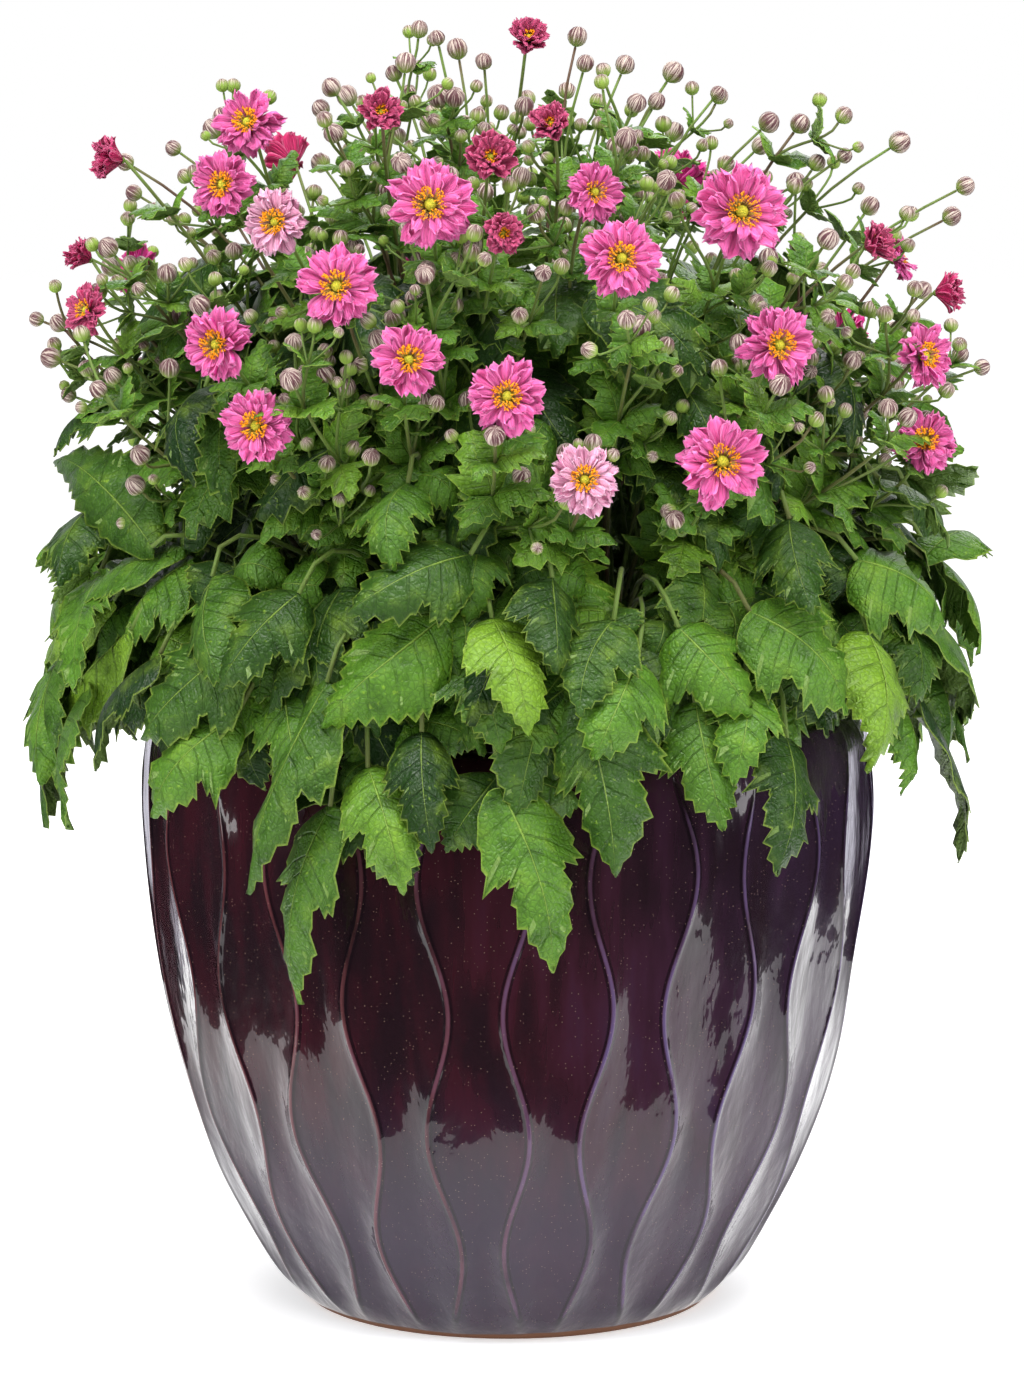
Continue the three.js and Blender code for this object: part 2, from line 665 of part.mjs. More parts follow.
// The dense middle of a plant that its leaves stand out of: a lumpy wedge on its crown.
function plantCore(plant) {
  const points = [];
  const rings = CORE_ROWS.map(([radius, z], row) => {
    const ring = [points.length];
    points.push(polar(plantAzimuth(plant, 0.5), CORE_INSIDE, z));
    for (let column = 0; column < CORE_COLUMNS; column += 1) {
      const share = CORE_MARGIN + ((1 - 2 * CORE_MARGIN) * column) / (CORE_COLUMNS - 1);
      const side = (row + column) % 2 === 0 ? 1 : -1;
      const lump = 1 + CORE_LUMPS * side + CORE_VARIATION * jitter(plant * 7 + row, column)
        - CORE_WAIST * (2 * share - 1) ** 4;
      ring.push(points.length);
      points.push(polar(plantAzimuth(plant, share), radius * lump, z));
    }
    return ring;
  });
  const faces = [[...rings[0]].reverse(), rings[rings.length - 1]];
  rings.slice(1).forEach((ring, i) => faces.push(...bandFaces(rings[i], ring)));
  return solidOf(points, faces);
}

// The azimuth at a share of a plant's arc.
function plantAzimuth(plant, share) {
  return FIRST_BORDER + PLANT_ARC * (plant + share);
}

// The plant whose arc holds an azimuth.
function plantAt(azimuth) {
  const turn = (((azimuth - FIRST_BORDER) % 360) + 360) % 360;
  return Math.floor(turn / PLANT_ARC);
}

// How far out a leaf's tip stands at an azimuth and a height.
function skirtRadius(azimuth, z) {
  const above = Math.max(1, SKIRT.findIndex(([level]) => level >= z));
  const [[lowZ, low], [highZ, high]] = SKIRT.slice(above - 1, above + 1);
  const radius = THREE.MathUtils.mapLinear(z, lowZ, highZ, low, high);
  return radius * (1 + FLANK_REACH * Math.sin(THREE.MathUtils.degToRad(azimuth)) ** 8);
}

// An azimuth drawn in from the borders of a plant's arc.
function insidePlant(plant, azimuth) {
  const middle = plantAzimuth(plant, 0.5);
  const away = THREE.MathUtils.euclideanModulo(azimuth - middle + 180, 360) - 180;
  const most = PLANT_ARC / 2 - BORDER_MARGIN;
  return middle + THREE.MathUtils.clamp(away, -most, most);
}

// Every basal leaf round the planter, as the front's leaves and their varied copies at the back.
function allBasalLeaves() {
  const back = BASAL_LEAVES.map(([footAzimuth, footZ, tipAzimuth, tipZ, width], k) => {
    const turn = 180 + BACK_VARIATION.turn * jitter(k, 61);
    const rise = BACK_VARIATION.rise * jitter(k, 62);
    return [footAzimuth + turn, footZ + rise, tipAzimuth + turn, tipZ + rise, width];
  });
  return [...BASAL_LEAVES, ...back];
}

// One basal leaf of a plant, its petiole bent over the planter's rim where the blade hangs low.
function basalLeaf(plant, [footAzimuth, footZ, tipAzimuth, tipZ, width], seed) {
  const from = insidePlant(plant, footAzimuth);
  const to = insidePlant(plant, tipAzimuth);
  const foot = polar(from, skirtRadius(from, footZ) - FOOT_INSET, footZ);
  const tip = polar(to, skirtRadius(to, tipZ), tipZ);
  const overRim = POT_HEIGHT + OVER_RIM.above;
  const { drop, low, high, highFrom, top } = PETIOLE_ROOTS;
  const rootZ = THREE.MathUtils.clamp(footZ - drop, overRim, top);
  const petiole = [polar(from, rootZ > highFrom ? high : low, rootZ)];
  if (footZ < overRim) petiole.push(polar(from, RIM_RADIUS + OVER_RIM.beyond, overRim));
  const { elevation, arch, fold } = BASAL_POSE;
  return leaf({
    petiole,
    foot,
    tip,
    width: width * BREADTH,
    up: heading(from, elevation),
    arch: arch[0] + arch[1] * jitter(seed, 9),
    fold: fold[0] + fold[1] * jitter(seed, 10),
  });
}

// The leaves that rise from the top of a plant's middle.
function crownLeaves(plant) {
  const { perPlant, foot, tip, width, elevation, arch, fold, stalkDrop, vary } = CROWN_LEAVES;
  return Array.from({ length: perPlant }, (_, k) => {
    const seed = plant * 31 + k;
    const azimuth = plantAzimuth(plant, (k + 0.5 + vary.share * jitter(seed, 41)) / perPlant);
    const rise = vary.rise * jitter(seed, 42);
    const tipAzimuth = azimuth + vary.swing * jitter(seed, 43);
    return leaf({
      petiole: [polar(azimuth, foot[0] / 2, foot[1] - stalkDrop)],
      foot: polar(azimuth, foot[0], foot[1] + rise),
      tip: polar(tipAzimuth, tip[0] + vary.reach * jitter(seed, 44), tip[1] + rise),
      width,
      up: heading(azimuth, elevation),
      arch,
      fold,
    });
  });
}

// A spray: a stem that ends in a bud, with stalked buds and small leaves along its upper part.
function budSpray(plant, number) {
  const { arc, z, out, sideBuds } = SPRAYS[number];
  const seed = plant * 17 + number;
  const azimuth = plantAzimuth(plant, arc + SPRAY_VARIATION.arc * jitter(seed, 21));
  const height = z + SPRAY_VARIATION.rise * jitter(seed, 22);
  const end = polar(azimuth, domeRadius(height) * out, height);
  const path = stemCurve(crownTop(plant), end, heading(azimuth, SPRAY_LEAN)).getPoints(STEM_STEPS);
  const base = path[STEM_STEPS - 1];
  const along = new THREE.Vector3().subVectors(end, base).normalize();
  const at = (share) => base.clone().lerp(end, share);
  const parts = [budOnStem(path, STEM_RADIUS, budSize(seed, 23))];
  for (let k = 0; k < sideBuds; k += 1) {
    parts.push(sideBud(at(SIDE_BUDS.first - SIDE_BUDS.step * k), along, seed, k));
  }
  for (let k = 0; k < SPRAY_LEAVES.count; k += 1) {
    parts.push(sprayLeaf(at(SPRAY_LEAVES.first - SPRAY_LEAVES.step * k), along, azimuth, k));
  }
  return parts;
}

// One stalked bud of a spray, from a point on its stem.
function sideBud(from, along, seed, k) {
  const { turn, start, lean, reach } = SIDE_BUDS;
  const vary = SIDE_BUD_VARIATION;
  const way = sideways(along, turn * k + start + vary.turn * jitter(seed, 25 + k), lean);
  const length = reach * (1 + vary.reach * jitter(seed, 27 + k));
  return budOnStem([from, from.clone().addScaledVector(way, length)], STALK_RADIUS, budSize(seed, 31 + k));
}

// One small leaf of a spray, from a point on its stem.
function sprayLeaf(from, along, azimuth, k) {
  const { turn, start, lean, stalk, length, width, elevation, arch, fold } = SPRAY_LEAVES;
  const way = sideways(along, turn * k + start, lean);
  return leaf({
    petiole: [from],
    foot: from.clone().addScaledVector(way, stalk[1]),
    tip: from.clone().addScaledVector(way, length),
    width,
    up: heading(azimuth, elevation),
    arch,
    fold,
    edge: SMALL_LEAF_EDGE,
    stalk: stalk[0],
  });
}

// The radius of one bud.
function budSize(a, b) {
  return BUD_RADIUS * (1 + BUD_VARIATION * jitter(a, b));
}

// A direction that leans away from another, to the side at a turn in degrees about it.
function sideways(along, turn, lean) {
  const side = new THREE.Vector3().crossVectors(along, UP).normalize();
  side.applyAxisAngle(along, THREE.MathUtils.degToRad(turn));
  return along.clone().addScaledVector(side, lean).normalize();
}

// The top of a crown, inside the core, where stems start.
function crownTop(plant) {
  return crownOf(plant).setZ(SOIL_TOP + STEM_START);
}

// The space that a bloom needs: its own hull, a little larger.
function bloomRoom(bloom, number) {
  const hull = bloomPetals(bloom, number).hull();
  return moved(hull, bloomMatrix(bloom).scale(BLOOM_ROOM));
}

// The wedge of space that a plant keeps to, so that neighbours stay clear of each other.
function plantSpace(plant) {
  const inward = polar(plantAzimuth(plant, 0.5), 2 * GAP, 0);
  const low = [inward];
  for (let k = 0; k <= 2; k += 1) {
    low.push(polar(plantAzimuth(plant, k / 2), SPACE_REACH, 0).add(inward));
  }
  const high = low.map((corner) => corner.clone().setZ(SPACE_TOP));
  return solidOf([...low, ...high], [[3, 2, 1, 0], [4, 5, 6, 7], ...bandFaces([0, 1, 2, 3], [4, 5, 6, 7])]);
}

// The planter's wall grown by a clearance, for leaves to keep off.
function wallRoom() {
  const outside = POT_PROFILE.map(([r, z]) => [r + WALL_CLEARANCE, z]);
  const top = POT_HEIGHT + WALL_CLEARANCE;
  const inner = RIM_RADIUS - WALL - FLUTE_DEPTH - WALL_ROOM_INSIDE;
  const body = lathe([[0, -1], [POT_PROFILE[0][0], -1], ...outside, [RIM_RADIUS, top], [0, top]],
    WALL_ROOM_SIDES);
  const inside = [[0, 2 * FLOOR], [inner, 2 * FLOOR], [inner, top + 1], [0, top + 1]];
  return body.subtract(lathe(inside, WALL_ROOM_SIDES));
}

// A whole plant: crown, core, basal leaves, sprays and the stems of its blooms, in one body.
function plantSolid(plant, rooms, wall) {
  const crown = crownOf(plant);
  const leaves = allBasalLeaves();
  const parts = [
    tube([crown.clone().setZ(SOIL_TOP - CROWN_DEPTH), crown.clone().setZ(SOIL_TOP + CROWN_HEIGHT)],
      [CROWN_RADIUS * CROWN_TAPER, CROWN_RADIUS], CROWN_SIDES),
    plantCore(plant),
    ...leaves.map((row, k) => [row, k]).filter(([row]) => plantAt(row[0]) === plant)
      .map(([row, k]) => basalLeaf(plant, row, k)),
    ...crownLeaves(plant),
    ...SPRAYS.flatMap((_, number) => budSpray(plant, number)),
  ];
  BLOOMS.filter((bloom) => plantAt(bloom.at[0]) === plant).forEach((bloom) => {
    const head = new THREE.Vector3().setFromMatrixPosition(bloomMatrix(bloom));
    const facing = heading(...bloom.faces);
    const arriving = facing.clone().add(UP).normalize();
    const path = stemCurve(crownTop(plant), head, arriving).getPoints(STEM_STEPS);
    parts.push(tube(path, path.map(() => STEM_RADIUS), 3));
  });
  let solid = wasm.Manifold.union(parts).intersect(plantSpace(plant)).subtract(wall);
  rooms.forEach((room) => {
    solid = solid.subtract(room);
  });
  return largestBody(solid);
}

function meshOf(name, solid, colour, roughness) {
  const material = new THREE.MeshStandardMaterial({ color: colour, roughness, metalness: 0 });
  material.side = THREE.FrontSide;
  const mesh = new THREE.Mesh(geometryOf(solid), material);
  mesh.name = name;
  return mesh;
}

const anemone = new THREE.Group();
anemone.add(meshOf('pot', potSolid(), COLOURS.glaze, 0.15));
anemone.add(meshOf('soil', soilSolid(), COLOURS.soil, 0.95));

const rooms = BLOOMS.map(bloomRoom);
const wall = wallRoom();
for (let plant = 0; plant < PLANTS; plant += 1) {
  anemone.add(meshOf(`plant_${plant + 1}`, plantSolid(plant, rooms, wall), COLOURS.green, 0.6));
}
BLOOMS.forEach((bloom, number) => {
  const label = String(number + 1).padStart(2, '0');
  const petals = moved(bloomPetals(bloom, number), bloomMatrix(bloom));
  anemone.add(meshOf(`bloom_${label}_petals`, petals, COLOURS.petal, 0.55));
  if (bloom.form !== 'open' || bloom.across < OWN_CENTRE_FROM) return;
  const centre = moved(bloomCentre(bloom), bloomMatrix(bloom));
  anemone.add(meshOf(`bloom_${label}_centre`, centre, COLOURS.centre, 0.7));
});

export default anemone;
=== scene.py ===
"""A potted Japanese anemone: a ribbed, glazed planter with soil and six plants in it.

Metres, +Z up. The origin is the middle of the planter's foot, and the front faces -Y. Azimuths are
degrees from the front towards +X. Every random draw comes from chance(), which has only seeds: the
second seed of each draw is its own number, so that draws for one leaf or bud don't repeat.
"""

import logging
import math
from dataclasses import dataclass, field
from enum import Enum

import bmesh
import bpy
import numpy as np
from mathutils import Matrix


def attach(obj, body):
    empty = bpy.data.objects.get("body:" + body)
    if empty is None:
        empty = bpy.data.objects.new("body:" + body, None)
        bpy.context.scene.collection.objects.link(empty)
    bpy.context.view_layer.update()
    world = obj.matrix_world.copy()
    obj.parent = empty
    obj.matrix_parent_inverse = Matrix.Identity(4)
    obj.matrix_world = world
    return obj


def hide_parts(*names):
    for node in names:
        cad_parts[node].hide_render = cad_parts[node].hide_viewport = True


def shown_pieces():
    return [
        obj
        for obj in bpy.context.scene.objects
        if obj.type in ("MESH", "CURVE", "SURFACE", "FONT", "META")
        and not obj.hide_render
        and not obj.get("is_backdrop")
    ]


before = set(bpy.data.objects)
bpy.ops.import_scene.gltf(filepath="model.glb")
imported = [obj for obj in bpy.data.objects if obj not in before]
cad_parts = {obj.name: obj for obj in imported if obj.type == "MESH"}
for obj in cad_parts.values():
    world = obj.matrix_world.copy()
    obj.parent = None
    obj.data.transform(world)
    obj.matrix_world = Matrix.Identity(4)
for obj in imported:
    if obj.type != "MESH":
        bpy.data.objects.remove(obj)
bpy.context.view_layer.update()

Points = np.ndarray
Socket = bpy.types.NodeSocket
Material = bpy.types.Material
Piece = bpy.types.Object

LOG = logging.getLogger("anemone")
UP = np.array([0.0, 0.0, 1.0])
MILLIMETRE = 1000
TINY = 1e-12

PLANTS = 6
PLANT_ARC = 360 / PLANTS
FIRST_BORDER = -49.0
CROWN_CIRCLE = 0.092
SOIL_TOP = 0.344
POT_HEIGHT = 0.378
DOME_RADIUS = 0.280
DOME_SHOULDER = 0.560
DOME_RISE = 0.248
# How far to the side and to the front any leaf reaches
LEAF_LIMIT = (0.305, 0.292)


def chance(a: float, b: float) -> float:
    """A number from 0 to 1 that depends only on its two seeds."""
    wave = math.sin(a * 12.9898 + b * 78.233) * 43758.5453
    return wave - math.floor(wave)


def jitter(a: float, b: float) -> float:
    """A number from -1 to 1 that depends only on its two seeds."""
    return 2 * chance(a, b) - 1


def polar(azimuth: float, radius: float, z: float) -> Points:
    """The point at an azimuth in degrees, a distance from the axis and a height."""
    turn = math.radians(azimuth)
    return np.array([radius * math.sin(turn), -radius * math.cos(turn), z])


def heading(azimuth: float, elevation: float) -> Points:
    """The unit vector that looks along an azimuth and an elevation in degrees."""
    lift = math.radians(elevation)
    return polar(azimuth, math.cos(lift), math.sin(lift))


def unit(vector: Points) -> Points:
    """A vector scaled to length 1."""
    return vector / max(float(np.linalg.norm(vector)), 1e-9)


def spread(pair: tuple[float, float], share: float) -> float:
    """A number at a share of a range, which is given as its start and its length."""
    return pair[0] + pair[1] * share


def distance(start: Points, end: Points) -> float:
    """How far two points are apart."""
    return float(np.linalg.norm(end - start))


def level_ring(radius: Points | float, turn: Points, z: float) -> Points:
    """Points round the axis at one height, with their turns from the front in radians."""
    return np.stack([radius * np.sin(turn), -radius * np.cos(turn), np.full(len(turn), z)], -1)


def full_turn(sides: int) -> Points:
    """The angles of the corners of a ring, in radians."""
    return np.arange(sides) * 2 * math.pi / sides


def dome_radius(z: float) -> float:
    """How far from the axis the dome of blooms reaches at a height."""
    rise = max(0.0, z - DOME_SHOULDER) / DOME_RISE
    return DOME_RADIUS * math.sqrt(max(0.0, 1 - rise * rise))


def plant_azimuth(plant: int, share: float) -> float:
    """The azimuth at a share of a plant's arc."""
    return FIRST_BORDER + PLANT_ARC * (plant + share)


def plant_at(azimuth: float) -> int:
    """The number of the plant whose arc holds an azimuth."""
    return int(((azimuth - FIRST_BORDER) % 360) // PLANT_ARC)


def crown_top(plant: int) -> Points:
    """The point in a plant's crown where its flower stems start."""
    return polar(plant_azimuth(plant, 0.5), CROWN_CIRCLE, SOIL_TOP + 0.012)


def bezier(points: list[Points], steps: int) -> Points:
    """Points along a cubic curve.

    Args:
        points: The curve's start, its two handles and its end.
        steps: How many stretches the curve is cut into.

    Returns:
        An array of steps + 1 points.
    """
    t = np.linspace(0, 1, steps + 1)[:, None]
    start, first, second, end = points
    return (1 - t) ** 3 * start + 3 * t * (1 - t) ** 2 * first + 3 * t**2 * (1 - t) * second + t**3 * end


def srgb(red: int, green: int, blue: int) -> tuple[float, float, float, float]:
    """A colour as shaders want it, from the 0 to 255 values of a screen."""
    return (*(((c / 255 + 0.055) / 1.055) ** 2.4 if c > 10 else c / 3294 for c in (red, green, blue)), 1.0)


@dataclass
class Form:
    """Points and faces of one small closed form, with a uv pair for each corner of each face."""

    points: Points
    faces: list[Points]
    uv: list[Points]

    def undersides(self) -> Points:
        """For each point of a sheet, 0 on the upper side and 1 on the underside."""
        return np.repeat([0.0, 1.0], len(self.points) // 2)


def sheet(grid: Points, thickness: float) -> Form:
    """A closed thin sheet.

    Args:
        grid: Points of its upper side, as rows from foot to tip and columns from left to right.
        thickness: How far its underside lies below the upper side.

    Returns:
        The form. Its u runs across from 0 to 1, and its v runs along from 0 to 1.
    """
    rows, columns, _ = grid.shape
    normal = np.cross(np.gradient(grid, axis=1), np.gradient(grid, axis=0))
    normal /= np.linalg.norm(normal, axis=2, keepdims=True) + TINY
    points = np.concatenate([grid.reshape(-1, 3), (grid - thickness * normal).reshape(-1, 3)])
    number = np.arange(rows * columns).reshape(rows, columns)
    top = np.stack([number[:-1, :-1], number[:-1, 1:], number[1:, 1:], number[1:, :-1]], -1).reshape(-1, 4)
    border = np.concatenate([number[0, :-1], number[:-1, -1], number[-1, :0:-1], number[:0:-1, 0]])
    after = np.roll(border, -1)
    low = rows * columns
    rim = np.stack([border + low, after + low, after, border], -1)
    faces = np.concatenate([top, top[:, ::-1] + low, rim])
    u, v = np.meshgrid(np.linspace(0, 1, columns), np.linspace(0, 1, rows))
    uv = np.tile(np.stack([u, v], -1).reshape(-1, 2), (2, 1))
    return Form(points, [faces], [uv[faces]])


def ring_faces(count: int, sides: int) -> tuple[Points, Points, Points]:
    """The faces between rings of points that are numbered ring by ring.

    Args:
        count: How many rings there are.
        sides: How many points each ring has.

    Returns:
        The number of each point, the number of the point beside it, and the faces' four corners.
    """
    number = np.arange(count * sides).reshape(count, sides)
    beside = np.roll(number, -1, axis=1)
    return number, beside, np.stack([number[:-1], beside[:-1], beside[1:], number[1:]], -1).reshape(-1, 4)


def hoops(rings: Points, first: Points, last: Points) -> Form:
    """A closed form of rings, with a point at each end.

    Args:
        rings: Rings from first to last, each an equal number of points, anticlockwise seen from last.
        first: The point that closes the first ring.
        last: The point that closes the last ring.

    Returns:
        The form. Its u runs round from 0 to 1, and its v runs from first to last.
    """
    count, sides, _ = rings.shape
    number, beside, quads = ring_faces(count, sides)
    step = 1 / sides
    u = np.arange(sides) / sides
    v = (np.arange(count) + 1) / (count + 1)
    low_u, low_v = np.meshgrid(u, v[:-1])
    high_v = np.meshgrid(u, v[1:])[1]
    pairs = (low_u, low_v), (low_u + step, low_v), (low_u + step, high_v), (low_u, high_v)
    quad_uv = np.stack([np.stack(pair, -1) for pair in pairs], 2).reshape(-1, 4, 2)
    ends = np.concatenate([
        np.stack([beside[0], number[0], np.full(sides, count * sides)], -1),
        np.stack([number[-1], beside[-1], np.full(sides, count * sides + 1)], -1),
    ])
    end_u = np.stack([u + step, u, u + step / 2], -1)
    first_uv = np.stack([end_u, np.tile([v[0], v[0], 0.0], (sides, 1))], -1)
    last_uv = np.stack([end_u[:, [1, 0, 2]], np.tile([v[-1], v[-1], 1.0], (sides, 1))], -1)
    points = np.concatenate([rings.reshape(-1, 3), [first, last]])
    return Form(points, [quads, ends], [quad_uv, np.concatenate([first_uv, last_uv])])


def tube(path: Points, radii: Points | float, sides: int = 5) -> Form:
    """A round tube along a path.

    Args:
        path: The points of its middle line.
        radii: Its radius, or one for each point of the path.
        sides: How many corners it has round.

    Returns:
        The form.
    """
    along = np.gradient(path, axis=0)
    along /= np.linalg.norm(along, axis=1, keepdims=True) + TINY
    turn = full_turn(sides)
    radius = np.broadcast_to(radii, len(path))
    side = np.array([1.0, 0.0, 0.0]) if abs(along[0][0]) < 0.8 else np.array([0.0, 1.0, 0.0])
    rings = np.empty((len(path), sides, 3))
    for i, tangent in enumerate(along):
        side = unit(side - side.dot(tangent) * tangent)
        across = np.cross(tangent, side)
        rings[i] = path[i] + radius[i] * (np.cos(turn)[:, None] * side + np.sin(turn)[:, None] * across)
    return hoops(rings, path[0], path[-1])


class Draft:
    """Many small forms gathered into one mesh."""

    def __init__(self) -> None:
        """Starts with nothing in it."""
        self.points: list[Points] = []
        self.corners: list[Points] = []
        self.sides: list[Points] = []
        self.uv: list[Points] = []
        self.values: dict[str, list[Points]] = {}
        self.count = 0

    def add(self, form: Form, **values: float | Points) -> None:
        """Adds a form.

        Args:
            form: The form.
            values: Numbers for its points, or one for all, that its material reads by their name.
        """
        self.points.append(form.points)
        for faces, uv in zip(form.faces, form.uv):
            self.corners.append(faces.ravel() + self.count)
            self.sides.append(np.full(len(faces), faces.shape[1]))
            self.uv.append(uv.reshape(-1, 2))
        for name, value in values.items():
            self.values.setdefault(name, []).append(np.broadcast_to(value, len(form.points)))
        self.count += len(form.points)

    def build(self, name: str, material: Material) -> Piece:
        """Makes the mesh of everything gathered, smooth and in one material.

        Args:
            name: The piece's name.
            material: What it is dressed in.

        Returns:
            The piece, which is in the scene.
        """
        mesh = bpy.data.meshes.new(name)
        points = np.concatenate(self.points).astype(np.float32)
        corners = np.concatenate(self.corners).astype(np.int32)
        sides = np.concatenate(self.sides).astype(np.int32)
        starts = np.concatenate([[0], np.cumsum(sides)[:-1]]).astype(np.int32)
        mesh.vertices.add(len(points))
        mesh.vertices.foreach_set("co", points.ravel())
        mesh.loops.add(len(corners))
        mesh.loops.foreach_set("vertex_index", corners)
        mesh.polygons.add(len(sides))
        mesh.polygons.foreach_set("loop_start", starts)
        mesh.update(calc_edges=True)
        uv = np.concatenate(self.uv).ravel().astype(np.float32)
        mesh.uv_layers.new(name="UVMap").data.foreach_set("uv", uv)
        for layer, values in self.values.items():
            filled = np.concatenate(values).astype(np.float32)
            mesh.attributes.new(layer, "FLOAT", "POINT").data.foreach_set("value", filled)
        mesh.polygons.foreach_set("use_smooth", np.ones(len(sides), dtype=bool))
        mesh.materials.append(material)
        piece = bpy.data.objects.new(name, mesh)
        bpy.context.scene.collection.objects.link(piece)
        return piece


def settle(piece: Piece, slot: str, *nodes: str) -> None:
    """Lets a piece ride with the pot, and reports it.

    Args:
        piece: The piece.
        slot: The record's slot that its finish belongs to. It is not used.
        nodes: The CAD nodes that it stands for.
    """
    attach(piece, "root")
    if nodes:
        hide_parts(*nodes)
    LOG.info("%s: %d faces", piece.name, len(piece.data.polygons))


class Paint:
    """A node material round one Principled shader, whose colour is laid on coat by coat."""

    def __init__(self, name: str, ground: tuple, settings: dict[str, float]) -> None:
        """Makes the material.

        Args:
            name: The material's name.
            ground: The colour under every other one.
            settings: Values for the shader's own sockets that are the same all over.
        """
        self.material = bpy.data.materials.new(name)
        self.material.use_nodes = True
        self.tree = self.material.node_tree
        self.shader = self.tree.nodes["Principled BSDF"]
        self.colour: object = ground
        for socket, value in settings.items():
            self.shader.inputs[socket].default_value = value

    def node(self, kind: str, *inputs: object, **settings: object) -> bpy.types.Node:
        """Adds a node.

        Args:
            kind: The node's type, without the words that all of them start with.
            inputs: Sockets or values for its first inputs. None leaves one alone.
            settings: The node's own settings.

        Returns:
            The node.
        """
        node = self.tree.nodes.new(f"ShaderNode{kind}")
        for key, value in settings.items():
            setattr(node, key, value)
        for socket, value in zip(node.inputs, inputs):
            self.feed(socket, value)
        return node

    def feed(self, socket: Socket, value: object) -> None:
        """Links a socket to another one, or sets its value. None leaves it alone.

        Args:
            socket: The socket.
            value: The other socket, or the value.
        """
        if isinstance(value, Socket):
            self.tree.links.new(value, socket)
        elif value is not None:
            socket.default_value = value

    def value(self, layer: str) -> Socket:
        """The mesh's own values of one name."""
        return self.node("Attribute", attribute_name=layer).outputs["Fac"]

    def uv(self) -> tuple[Socket, Socket]:
        """The u and v of the surface."""
        parts = self.node("SeparateXYZ", self.node("UVMap", uv_map="UVMap").outputs[0])
        return parts.outputs[0], parts.outputs[1]

    def spot(self) -> Socket:
        """The place on the object, in metres."""
        return self.node("TexCoord").outputs["Object"]

    def stretched(self, x: float, y: float, z: float) -> Socket:
        """The place on the object, scaled along each axis."""
        return self.node("Mapping", self.spot(), None, None, (x, y, z)).outputs[0]

    def point(self, x: object, y: object, z: object) -> Socket:
        """A place made of three numbers."""
        return self.node("CombineXYZ", x, y, z).outputs[0]

    def math(self, operation: str, a: object, b: object = None) -> Socket:
        """One sum on one or two numbers."""
        return self.node("Math", a, b, operation=operation).outputs[0]

    def times(self, a: object, b: object) -> Socket:
        """One number times another."""
        return self.math("MULTIPLY", a, b)

    def plus(self, a: object, b: object) -> Socket:
        """One number plus another."""
        return self.math("ADD", a, b)

    def off_middle(self, u: object) -> Socket:
        """How far a u is from the middle line, up to 0.5."""
        return self.math("ABSOLUTE", self.math("SUBTRACT", u, 0.5))

    def step(self, value: object, low: float, high: float, start: float = 0, end: float = 1) -> object:
        """A smooth step from start to end while a value goes from low to high."""
        smooth = {"interpolation_type": "SMOOTHSTEP"}
        return self.node("MapRange", value, low, high, start, end, **smooth).outputs[0]

    def mix(self, share: object, a: object, b: object) -> Socket:
        """A blend of two colours.

        Args:
            share: How much of the second colour shows, from 0 to 1.
            a: The first colour.
            b: The second colour.

        Returns:
            The blended colour.
        """
        node = self.node("Mix", data_type="RGBA")
        for index, value in ((0, share), (6, a), (7, b)):
            self.feed(node.inputs[index], value)
        return node.outputs[2]

    def coat(self, colour: object, share: object, most: float = 1) -> None:
        """Lays a colour over the ones so far.

        Args:
            colour: The colour.
            share: How far it covers them, from 0 to 1.
            most: What the share is multiplied by.
        """
        self.colour = self.mix(share if most == 1 else self.times(share, most), self.colour, colour)

    def noise(self, place: object, scale: float, detail: float = 2) -> Socket:
        """Smooth noise from 0 to 1."""
        return self.node("TexNoise", place, None, scale, detail).outputs[0]

    def cells(self, scale: float, **settings: object) -> bpy.types.Node:
        """A texture of cells at the place on the object."""
        return self.node("TexVoronoi", self.spot(), None, scale, **settings)

    def bump(self, height: object, distance: float, normal: object = None) -> Socket:
        """The normal of a surface raised by a height of 1 over a distance in metres.

        Args:
            height: The height.
            distance: The distance.
            normal: The normal of a coarser relief under it.

        Returns:
            The normal.
        """
        node = self.node("Bump")
        node.inputs["Distance"].default_value = distance
        self.feed(node.inputs["Height"], height)
        self.feed(node.inputs["Normal"], normal)
        return node.outputs[0]

    def finish(self, roughness: object, normal: object = None) -> Material:
        """Links the colour, the roughness and the normal to the shader.

        Args:
            roughness: The roughness.
            normal: The normal, if the surface has relief.

        Returns:
            The material.
        """
        self.feed(self.shader.inputs["Base Color"], self.colour)
        self.feed(self.shader.inputs["Roughness"], roughness)
        self.feed(self.shader.inputs["Normal"], normal)
        return self.material


